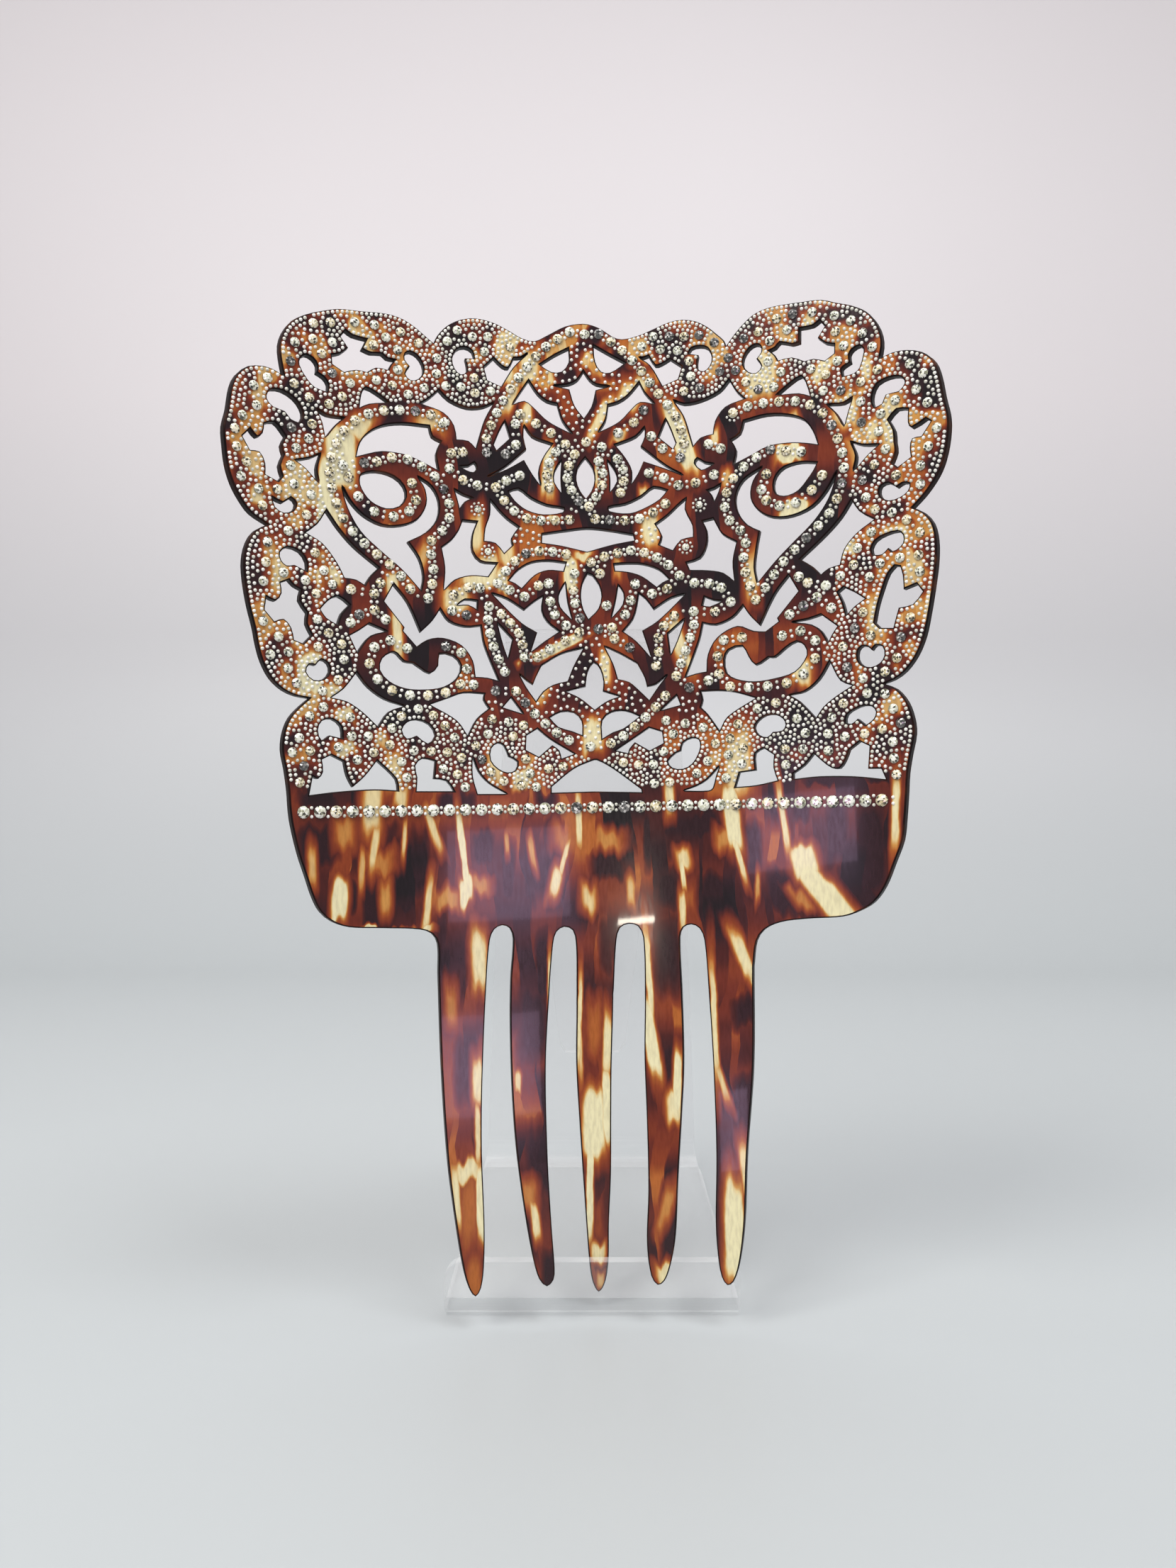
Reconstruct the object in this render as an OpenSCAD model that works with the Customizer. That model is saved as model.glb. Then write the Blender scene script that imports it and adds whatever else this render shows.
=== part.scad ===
// Mantilla comb on its display stand.
// X runs across the comb, Z is up and the stones face -Y.
// The origin is on the table, in the middle of the stand's base plate.

/* [Comb] */
// Width of the crest between its outermost scallops, straight across
comb_w = 151; // [146:0.5:156]
// Height of the comb from the tips of its outer teeth to the top of the crest
comb_h = 221; // [214:0.5:228]
// Radius of the comb's bend, at the face that carries the stones
bend_r = 120; // [112:1:135]
// Thickness of the comb's sheet
comb_t = 2.2; // [1.8:0.1:2.6]
// How far the comb leans back against the stand, in degrees
comb_lean = 2; // [1:0.5:3]
// How far the comb hangs to one side, in degrees
comb_roll = 1.2; // [0:0.1:1.5]

/* [Stones] */
// Width of a stone in the row along the band
band_stone_d = 2.7; // [2.3:0.1:2.9]
// Number of stones in the row along the band
band_stones_n = 37; // [35:1:39]
// Width of a stone on the straps of the crest
strap_stone_d = 2.3; // [1.9:0.1:2.5]
// Height of a stone above the sheet
stone_h = 0.8; // [0.5:0.1:1]

/* [Stand] */
// Thickness of the stand's clear sheet
sheet_t = 3; // [2.5:0.1:3.2]
// Width of the stand's lip and base
stand_w = 68; // [60:1:76]
// Depth of the base, from the front of the lip to the rear fold
base_d = 120; // [110:1:130]
// Height of the lip
lip_h = 13; // [10:0.5:15]
// Height of the stand's top fold
stand_h = 160; // [154:1:166]
// Width of the stand at its top fold
top_w = 40; // [34:1:46]
// Width of the front tongue at its lower end
tongue_w = 15; // [12:1:20]
// Height of the tongue's lower end
tongue_z = 61; // [54:1:68]

/* [Hidden] */
$fn = 96;

// The comb's charts below are drawn for a comb of this size.
chart_w = 151;
chart_h = 221;
ku = comb_w / chart_w;
kv = comb_h / chart_h;

// Where the comb stands: its foot beside the middle of the stand, and in front of the lip.
foot_x = 2.3;
foot_y = -64.5;
foot_z = 8.9;
clear = 0.6;
seat = 0.05;

// Each row of a chart is a point across and up from the comb's foot, seen from the front,
// and a third value marks a sharp corner.

// Left half of the crest's outline, from the middle of the top down to the band's lower lobe
crest_edge = [
    [0, 221], [-4, 220.4], [-8, 218.4], [-11.2, 216.9], [-14, 217.5], [-17, 219.2], [-20.5, 220.9],
    [-24.5, 221.7], [-28, 221.1], [-31, 219.4], [-33.2, 216.9], [-34, 215.2, 1], [-35.4, 216.3],
    [-37.8, 218.3], [-40.5, 219.9], [-44, 220.7], [-50, 220.4], [-54, 220.1], [-57.5, 218.9],
    [-60.3, 217.6], [-63.2, 215.4], [-64.8, 212.7], [-65.5, 209.9], [-65.4, 207], [-64.8, 203, 1],
    [-66.4, 203.9], [-68.4, 204.3], [-71.2, 203.6], [-73.2, 201.4], [-74.2, 198.6], [-74.9, 193.5],
    [-75.6, 189.8], [-75.5, 186.3], [-75.1, 181.8], [-74.2, 178], [-72.8, 174.8], [-71, 172.1],
    [-68, 170.1, 1], [-70.3, 168.5], [-71.7, 165.8], [-72.4, 162], [-72.3, 158], [-71.6, 152.5],
    [-70.7, 148], [-70.1, 144], [-69.3, 140.6], [-67.8, 137.2], [-65.6, 134.8], [-63.2, 133.6],
    [-60.7, 133.2, 1], [-62.4, 131.5], [-64.4, 128.9], [-65.5, 125.8], [-65.9, 122], [-65.3, 117.8],
    [-64.8, 113], [-64.6, 109], [-64.2, 105.5], [-63, 99.4], [-61.8, 95], [-60.4, 90],
    [-59, 86.9], [-56.8, 84.7], [-53.5, 83.3], [-46.8, 82.7], [-39, 82], [-36.4, 80.9], [-35.2, 78.6]];

// Left half of the teeth, from the outer edge of the first tooth to the middle of the comb
tooth_edge = [
    [-35.2, 72, 1], [-34.8, 50], [-33.8, 30], [-32.4, 17], [-30.9, 6.3], [-29.6, 1.4], [-28.3, -0.3],
    [-27.1, 1.4], [-26.4, 6], [-26.1, 15], [-26.4, 33], [-25.9, 50], [-24.7, 70], [-23.8, 79],
    [-22.8, 81.3], [-21, 82.2], [-19.3, 81.4], [-18.6, 79], [-19.3, 70], [-19.6, 60], [-19.5, 46],
    [-18.8, 32], [-17.3, 18.5], [-15.6, 7.5], [-14.2, 2.3], [-12.5, 0.6], [-11, 2], [-10.7, 4.5],
    [-11.2, 14], [-11.8, 30], [-11.8, 50], [-10.8, 65], [-9.6, 77.6], [-8.8, 80.3], [-7, 81.4],
    [-5.1, 80.6], [-4.4, 77.5], [-4.5, 66, 1]];

// Right half of the crest's outline, from the middle of the top down to the band's lower lobe
right_edge = [
    [2.4, 220.5], [4.6, 219.4], [7.1, 217.6], [9.1, 217], [12.8, 217.6], [16.6, 219], [20, 220.2],
    [23, 220.5], [26, 219.8], [28.6, 218.2], [30.7, 216.2], [32.2, 214.6], [32.7, 213.3, 1],
    [34.2, 215.3], [36.4, 217.7], [38.8, 219.6], [41.6, 220.5], [44.7, 220.7], [49, 220.5],
    [53, 220.1], [55.8, 218.8], [59, 217.3], [61.8, 215.2], [63.6, 212.4], [64.5, 209.4],
    [64.6, 206.8], [64.1, 204.2, 1], [66.4, 204.9], [69, 204.7], [71.8, 203.4], [73.8, 200.9],
    [74.7, 197.6], [75.3, 193], [76, 188.2], [75.8, 184], [75, 179.7], [73.8, 176.5],
    [71.6, 173.1], [69.3, 170.6, 1], [71.2, 169.2], [72.7, 166.7], [73.3, 163], [73.2, 158.6],
    [72.6, 153.7], [71.7, 148], [70.7, 143], [69.2, 139], [67.1, 135.9], [65, 134.3],
    [63, 133.6, 1], [65.3, 132.3], [67.2, 129.4], [68.2, 125.8], [68.4, 122.4], [67.6, 118],
    [67, 114.2], [66.7, 110], [66.3, 105], [65.7, 99.9], [64.2, 95.4], [62.2, 90],
    [60, 86.6], [57.1, 84.6], [54, 83.4], [46.6, 82.8], [41.2, 82], [37.7, 80.3], [36, 77.7]];

// Right half of the teeth, from the outer edge of the last tooth to the middle of the comb
right_tooth_edge = [
    [35.2, 72, 1], [34.6, 50], [32.8, 30], [31.9, 15], [30.6, 6], [29.2, 1.9], [27.8, 1],
    [26.6, 2.8], [25.9, 7.5], [25.6, 15], [26.1, 30], [25.9, 50], [25.3, 66], [24.6, 78],
    [23.6, 80.6], [21.8, 81.5], [20, 80.8], [19.2, 78.6], [19.4, 66], [19.4, 50], [18.6, 38],
    [17.5, 24], [16.6, 11], [15.4, 5], [14, 1.4], [12.4, 0.4], [11, 2.4], [10.2, 9.8],
    [10.8, 22], [10.8, 38], [10.6, 52], [11, 66], [10.9, 78.6], [9.8, 81.2], [7.7, 81.8],
    [5.7, 80.9], [4.8, 78], [3.9, 66, 1]];

// Openings of the left half whose mirror image, drawn a little, is on the right half
openings = [
    [[-60.5, 208.5], [-61.6, 207.4], [-61.7, 206], [-60.3, 203.3], [-58.8, 201.7], [-56.5, 201.1, 1],
     [-56.3, 202.8], [-57.1, 204.2], [-58.5, 205, 1], [-58.4, 206.7], [-59.2, 208]],
    [[-52.6, 215.5, 1], [-51.2, 214.6], [-48.4, 214.2, 1], [-49.4, 211.9, 1], [-47.5, 211.2],
     [-45.2, 211.4], [-44.2, 210.5], [-42.4, 210.3, 1], [-43.4, 209.1], [-43.9, 207.9, 1],
     [-46.4, 208.1], [-48.3, 206.8, 1], [-50.5, 207], [-53, 206.1, 1], [-55.3, 207.5, 1],
     [-55.4, 209.5, 1], [-53.6, 210.2], [-52.1, 211.7, 1], [-53.6, 214, 1]],
    [[-39.1, 212.6], [-37.7, 211.9], [-36.6, 210.2], [-36.4, 208.2], [-37.4, 206.6], [-39, 206.1],
     [-40.2, 207.4], [-39.2, 209.3, 1], [-40.3, 210.7], [-40.1, 212.1]],
    [[-48.6, 203.2], [-49.5, 201.6], [-49.9, 198.6, 1], [-48, 199.7], [-43.8, 200.5, 1], [-46.5, 202.3]],
    [[-58.5, 197, 1], [-56.6, 195.9], [-53.2, 195.8, 1], [-55, 193.9], [-56.9, 191, 1], [-57.4, 194]],
    [[-67.7, 198.7], [-66.9, 199.6], [-65, 199.7], [-62.9, 198.5], [-61.6, 196.6], [-61.3, 194.8],
     [-62, 193.3, 1], [-63.5, 193.8], [-64.6, 195.3], [-66.8, 195.9], [-67.9, 197.4]],
    [[-66.6, 192.5], [-64.6, 189.9, 1], [-65.4, 187.8], [-65, 185.8, 1], [-65.8, 183.3],
     [-65.3, 181, 1], [-66.1, 179.8, 1], [-68.3, 180.9, 1], [-68.3, 183.3], [-69.3, 185.6],
     [-71, 185.6, 1], [-72.3, 188.3, 1], [-71, 190.1, 1], [-69.8, 188.6], [-68.7, 189.7],
     [-68.4, 191.8, 1]],
    [[-58, 187.1, 1], [-58.8, 183.8], [-58.4, 180.6, 1], [-60.8, 183.5], [-62.7, 184.9, 1],
     [-59.8, 185.9]],
    [[-50.7, 187.5, 1], [-49.9, 190.6], [-48, 193.2], [-45, 195.1], [-41, 196], [-35.3, 195.9, 1],
     [-34.7, 193.6], [-32.8, 192.6, 1], [-33.9, 189.8], [-33.4, 185.9, 1], [-36.8, 187.6],
     [-40.5, 189], [-45.4, 189.3], [-48.4, 188.4]],
    [[-53.8, 180.6, 1], [-52.6, 175.8], [-50, 170.8], [-46, 166.8], [-41.5, 162.8], [-37.6, 158.3, 1],
     [-37.1, 161.6], [-38, 165.6], [-40.3, 169.2, 1], [-36.4, 171.5], [-33.9, 174.8], [-33.5, 178.8],
     [-35, 182.1], [-38, 184.2, 1], [-36.3, 181.4], [-36.1, 177.8], [-38, 174.4], [-41.5, 172.7],
     [-45.6, 172.5], [-49.5, 174.4], [-52.2, 177.4]],
    [[-29.9, 181.7, 1], [-28, 180.6], [-25.9, 179.9, 1], [-27.7, 179], [-28.8, 177.5, 1], [-29.4, 180]],
    [[-28.2, 174.6, 1], [-25.1, 174.4, 1], [-26.2, 171.3], [-26.2, 167.6], [-24.4, 165.3],
     [-20.8, 164.9, 1], [-22.8, 161.9, 1], [-26.5, 162.1], [-30.2, 161], [-32.6, 158.6, 1],
     [-32.2, 163.6], [-32.9, 168.2, 1], [-30.6, 170.1], [-29, 172.4]],
    [[-21.9, 179.6, 1], [-22, 176.2], [-23.1, 173], [-23.4, 170.1, 1], [-20.9, 169.7], [-19, 167.4, 1],
     [-17.1, 169.2, 1], [-17.4, 170.8], [-15.6, 173.4, 1], [-18.3, 175.4], [-20.3, 177.5, 1]],
    [[-43.4, 159.3, 1], [-40.6, 155.5], [-37.8, 148.7, 1], [-35.2, 151.4], [-33.5, 154.1, 1],
     [-31.6, 151.4], [-28, 150.2], [-24.6, 150.5, 1], [-23.9, 146.1], [-20.8, 137.9, 1],
     [-23.2, 138.6], [-25.9, 138.8, 1], [-26.5, 142.6], [-28.9, 146], [-33, 147.6], [-36.4, 147.1],
     [-38.7, 145.5, 1], [-41.5, 148.9, 1], [-41.2, 149.7, 1], [-45.4, 155.4, 1]],
    [[-29.7, 155.1, 1], [-28, 156.4], [-25.3, 156.2, 1], [-25.4, 154.3, 1], [-27.3, 155.3]],
    [[-27.1, 214.8], [-25.5, 214], [-25.1, 212.3, 1], [-27.1, 212.2, 1], [-26.7, 209.2], [-28, 208.4],
     [-29.4, 209.7], [-29.9, 211.9], [-28.9, 214.1]],
    [[-20.6, 212.6, 1], [-18.8, 210.8], [-17.3, 210.4], [-16, 212.8, 1], [-14.3, 213],
     [-12.7, 214.1, 1], [-16.2, 210.6], [-19, 206.1, 1], [-22.1, 207.4, 1], [-22.8, 210.4, 1]],
    [[-33, 204.4, 1], [-30.9, 202.3], [-26.8, 200.7], [-23, 201.1], [-20.7, 202.3, 1], [-22.9, 198.3],
     [-24.1, 194.6], [-25, 191.5, 1], [-26.6, 193.1], [-29.2, 193.3, 1], [-29.7, 196.4], [-32, 199.3],
     [-37, 201, 1], [-35, 202.4]],
    [[-18.3, 198, 1], [-17.2, 194.1, 1], [-20.3, 191.2, 1], [-20.9, 192.4, 1], [-19.5, 195.8]],
    [[-28.6, 187.1, 1], [-26.6, 187.3], [-25.4, 188.1], [-24.9, 187], [-25.6, 185.9], [-27.2, 186.3]],
    [[-10, 211.4, 1], [-6.6, 213.6], [-3.4, 215.2, 1], [-3.4, 211.9], [-5, 209.8], [-7.4, 209.7]],
    [[-12.7, 207.6, 1], [-10.7, 204.5], [-8.6, 202.8], [-6.3, 202.2, 1], [-5.2, 198.4],
     [-2.8, 195.1, 1], [-8.4, 198.2], [-12, 201.7], [-13.8, 202.9], [-16.5, 201.9, 1], [-14.4, 205.1]],
    [[-13.9, 197.1, 1], [-12.2, 194.6], [-7.6, 192.8, 1], [-9.8, 189.6], [-10.9, 186.4],
     [-10.4, 183.1, 1], [-12.2, 185.7], [-14.1, 189.1, 1], [-18.1, 186.8], [-22.6, 184.9, 1],
     [-18.6, 187.2], [-13.5, 191.6, 1], [-14.1, 194.4]],
    [[-5.5, 189, 1], [-7, 186.5], [-7.2, 183.9], [-5.6, 181.4, 1], [-5.8, 185]],
    [[-17.7, 181.6, 1], [-15.5, 182.3], [-12.7, 180.2], [-9, 178.5], [-5.2, 177.8], [-5.4, 176.9],
     [-9.8, 176.4], [-13.6, 177.4], [-16.4, 179.6]],
    [[-18, 161, 1], [-15.8, 163.5], [-12.8, 165.2], [-9, 165.6], [-5, 165.1, 1], [-5.6, 163.2, 1],
     [-9, 163.5], [-12.1, 162.4], [-15.2, 159.3, 1], [-16.6, 160.4]],
    [[-5.2, 160.5, 1], [-6.7, 157.5], [-6.4, 154.9], [-3.8, 151.9, 1], [-4.8, 156]],
    [[-22, 158, 1], [-18.6, 156.8], [-14.7, 154.2, 1], [-12.4, 156.1], [-10.4, 157.4, 1],
     [-10.8, 154.2], [-9.6, 151.6], [-6.8, 149.2, 1], [-10.3, 146.9], [-13.3, 144.6, 1],
     [-11.8, 149, 1], [-15.4, 151.3]],
    [[-20.8, 151.2, 1], [-17.5, 147.5, 1], [-18.6, 143.1, 1], [-19.6, 146.2]],
    [[-1.3, 145.3, 1], [-6.4, 144], [-10.9, 141.4, 1], [-12.2, 138.9], [-13, 137, 1], [-14.4, 137.9],
     [-16.1, 139.5, 1], [-14.6, 136.5], [-12.4, 133.2, 1], [-10.8, 135.4], [-8.4, 136.9],
     [-5.1, 137.7, 1], [-3.6, 141.3]],
    [[-9.3, 129.3, 1], [-6.8, 130.6], [-3.8, 130.4], [-2.1, 128.5], [-2, 125.2, 1], [-4.4, 126.2],
     [-7.4, 127.2]],
    [[-12.2, 126.8, 1], [-9.4, 124.4], [-3.9, 120.9, 1], [-6.8, 119.9, 1], [-7.3, 121.8],
     [-8.9, 123, 1], [-12, 120.4, 1], [-14.9, 122, 1], [-14.7, 125.3, 1]],
    [[-44, 144], [-46, 142.5], [-46.5, 140], [-44.6, 137.5], [-41.2, 136], [-37, 135.8], [-33, 136.5],
     [-30, 138.7], [-29.2, 141.4], [-30.8, 143.5], [-33.8, 143.9], [-34.1, 141.2], [-35.9, 139.4],
     [-38, 140.6], [-39.5, 141.7, 1], [-41.5, 142], [-43, 143.7]],
    [[-36, 132.4, 1], [-32, 133.9], [-28.6, 135.1], [-24.1, 134.9, 1], [-24.3, 133.6],
     [-23.1, 131.6, 1], [-25.8, 129.3], [-27.9, 125.4, 1], [-30.2, 128.8]],
    [[-18, 134, 1], [-15.4, 130.3, 1], [-19.9, 131.8, 1]],
    [[-51.3, 139.2, 1], [-49, 136], [-45.6, 133.4], [-41.5, 132, 1], [-44.8, 130.7], [-47.1, 127.3, 1],
     [-50.3, 130.6], [-53.4, 132.8], [-56.4, 133.5, 1], [-54, 135.4]]];

// Openings of the left half that have a different shape on the right half
left_openings = [
    [[-67.1, 176.1, 1], [-65.2, 175.2], [-63.7, 176.5], [-62.8, 175.4], [-63.4, 173.8], [-65, 173.1],
     [-66.6, 174.1]],
    [[-64.4, 165.7], [-65.8, 164.4], [-65.6, 162.7], [-64.6, 161.7], [-63.2, 162, 1],
     [-60.9, 160.9, 1], [-60.9, 162.9], [-62.1, 165]],
    [[-64.3, 158.6, 1], [-63.3, 157.4], [-62, 156.7, 1], [-62.4, 154.4], [-60.9, 151.8, 1],
     [-61.1, 149.4], [-60.1, 147, 1], [-61.7, 145, 1], [-63.4, 145.7, 1], [-63.9, 148.3],
     [-65.3, 150.1], [-67, 149.4, 1], [-68.7, 151.7, 1], [-68.4, 154.5, 1], [-66.7, 153.8],
     [-65.6, 155.6], [-65.8, 157.8, 1]],
    [[-54.8, 155.9], [-52.6, 154.2, 1], [-54.3, 152.1], [-55, 149.6, 1], [-57.2, 151],
     [-58.3, 152.8, 1], [-56.8, 154.7]],
    [[-48.6, 150.2, 1], [-45, 148.7, 1], [-48.3, 147.6], [-50, 145.6], [-51.1, 143.7, 1],
     [-52.6, 147.3, 1], [-50.6, 148.6]],
    [[-56.9, 174.6, 1], [-54.5, 170.8], [-51.5, 167.2], [-46.5, 162.9, 1], [-48.2, 161],
     [-49.4, 158.8, 1], [-51.2, 159.9], [-53.4, 160.1, 1], [-55, 163.5], [-57.8, 167.4],
     [-60.9, 169.3, 1], [-58.7, 171.4]],
    [[-49.6, 183.6], [-46.5, 184.5], [-43, 183.7], [-41, 181.7], [-40.6, 179.3], [-42, 177.1],
     [-44.7, 176.4], [-47.8, 177.7], [-49.7, 180.3], [-50.1, 182.2]],
    [[-58.3, 141.7], [-57, 140.9], [-56.7, 139.2], [-57.9, 137.5], [-59.8, 137.2], [-61.2, 138.9],
     [-60.6, 140.5], [-59.4, 140.4, 1]],
    [[-59.1, 126.3], [-58.3, 128.3], [-56.4, 128.8], [-54.6, 127.2], [-54.4, 124.6, 1],
     [-56.9, 125.2, 1], [-58.4, 124.1]],
    [[-56.6, 120.9, 1], [-58.4, 119.9, 1], [-58.2, 117.2], [-59.2, 115.7], [-60.2, 116.2, 1],
     [-60.9, 112.2, 1], [-55.7, 112.9], [-48.2, 113.4], [-43.2, 113.1, 1], [-43.6, 115.6],
     [-47.4, 119.7, 1], [-50, 116.2], [-52.4, 113.9, 1], [-53.5, 116.3], [-54.1, 119.5, 1]],
    [[-42.1, 126.6], [-41, 128.3], [-38.9, 128.9], [-36.3, 127.9], [-35, 125.4], [-36.6, 123.6],
     [-39, 125.4, 1], [-41.1, 124.7]],
    [[-37.8, 120.2], [-35.1, 119.6, 1], [-35.5, 115.6, 1], [-32.7, 115.1], [-31.2, 112.8, 1],
     [-39.2, 112.9, 1], [-39, 116], [-39.4, 118.6]],
    [[-26.9, 120.5, 1], [-25.6, 117], [-23.2, 114.3], [-19.4, 112, 1], [-25.9, 112.1, 1], [-26.9, 116]],
    [[-21.2, 123.6], [-22.7, 122.4], [-22.8, 119.7], [-21.2, 117.8], [-19.2, 116.9], [-17.4, 117.4],
     [-16.9, 119.3], [-18.9, 120.5, 1], [-19.9, 123]]];

right_openings = [
    [[63.3, 175], [63.6, 176.4], [65, 176.8], [66.5, 175.5, 1], [67.7, 176.2], [68.8, 175.8],
     [68.5, 174.4], [67, 173.3], [65, 173], [63.8, 173.8]],
    [[61.8, 161.7, 1], [61.5, 163.1], [62.3, 164.7], [64.2, 165.7], [66.5, 166], [67.4, 165],
     [67.3, 163.3], [66.2, 162.2], [65.3, 161.9, 1], [64.6, 162.8, 1], [63.4, 161.6]],
    [[65.8, 158.7, 1], [66.7, 158.4, 1], [67.1, 156.5], [67.2, 153.4, 1], [69.6, 154.2, 1],
     [70.6, 152.4, 1], [68.8, 150], [66.2, 149.6, 1], [65.6, 147.4], [65.1, 145.4, 1],
     [62.7, 145.7, 1], [61.7, 147, 1], [62.4, 150.6], [63.6, 154.6], [64.6, 157.3]],
    [[54.8, 154.5, 1], [55.9, 155.4, 1], [57.9, 154.1], [59.9, 152.4, 1], [57.9, 151],
     [56.3, 149.3, 1], [55.7, 152.2]],
    [[45.2, 148.8, 1], [48.7, 149.2], [51.2, 149.9, 1], [54.4, 147, 1], [53.3, 145.3],
     [52.5, 143.6, 1], [51.3, 146.2], [49.3, 147.9]],
    [[57.9, 174.4, 1], [59.3, 171.7], [62.1, 169.4, 1], [58.7, 167], [56.2, 163.9], [55.2, 160.5, 1],
     [53, 160], [51.4, 158.8, 1], [49.8, 160.8], [47.3, 162.7, 1], [52.6, 167.5], [55.7, 170.9]],
    [[51.2, 183.8, 1], [47.9, 184.4], [44.5, 183.8], [42.8, 182.2], [42.2, 180.2], [42.5, 178.4],
     [43.4, 177.6], [45.1, 177.4], [47.3, 178.3], [49.1, 180.4], [50.4, 182.2]],
    [[59.2, 142.1], [60.3, 141.8], [61, 141, 1], [61.8, 142], [63, 141.6], [63.3, 139.7],
     [62.4, 138.1], [60.7, 137.4], [59.1, 138], [58.3, 139.4], [58.4, 141.2]],
    [[55.6, 125.7], [55.9, 127.4], [57.4, 128.5], [59.1, 129.1], [60.7, 128.8], [61.4, 127.6],
     [60.9, 126.1], [59.4, 124.9, 1], [57.9, 126.4, 1], [56.7, 125.4]],
    [[44.7, 113.8, 1], [44.7, 115, 1], [47, 116.7], [49, 119.2, 1], [50.5, 117.6], [52.5, 115.9],
     [54.1, 115.7], [55.3, 117.5], [56.1, 119.7, 1], [58.2, 121.4, 1], [60, 120.3, 1],
     [59.6, 115.4, 1], [62.1, 115.3, 1], [62.9, 113, 1], [57, 113.9], [50, 114.2]],
    [[36.8, 125.6], [37.5, 127], [39.2, 128.2], [41.2, 128.3], [42.8, 127.3], [43.3, 125.9],
     [42.6, 124.7], [40.6, 124.5, 1], [39.4, 123.4], [37.6, 124]],
    [[38.6, 120.9, 1], [36.8, 119.8], [36.8, 116, 1], [33.3, 115.6, 1], [32.3, 112.4, 1],
     [36.8, 112.7], [41.3, 113.6, 1], [40.5, 116.5], [40.7, 119.3, 1]],
    [[28.9, 117.3, 1], [28, 114.9], [27.3, 112.4], [26.4, 111.8], [20.8, 111.9, 1], [23.6, 112.8],
     [26, 114.2]],
    [[22.9, 123.8], [24.4, 123.4], [24.7, 121.9], [24.1, 120], [22.8, 118], [20.8, 116.9],
     [18.4, 117.2], [17.4, 118.7], [19.2, 120.5, 1], [20.4, 121, 1], [20.9, 122.8]]];

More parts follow.
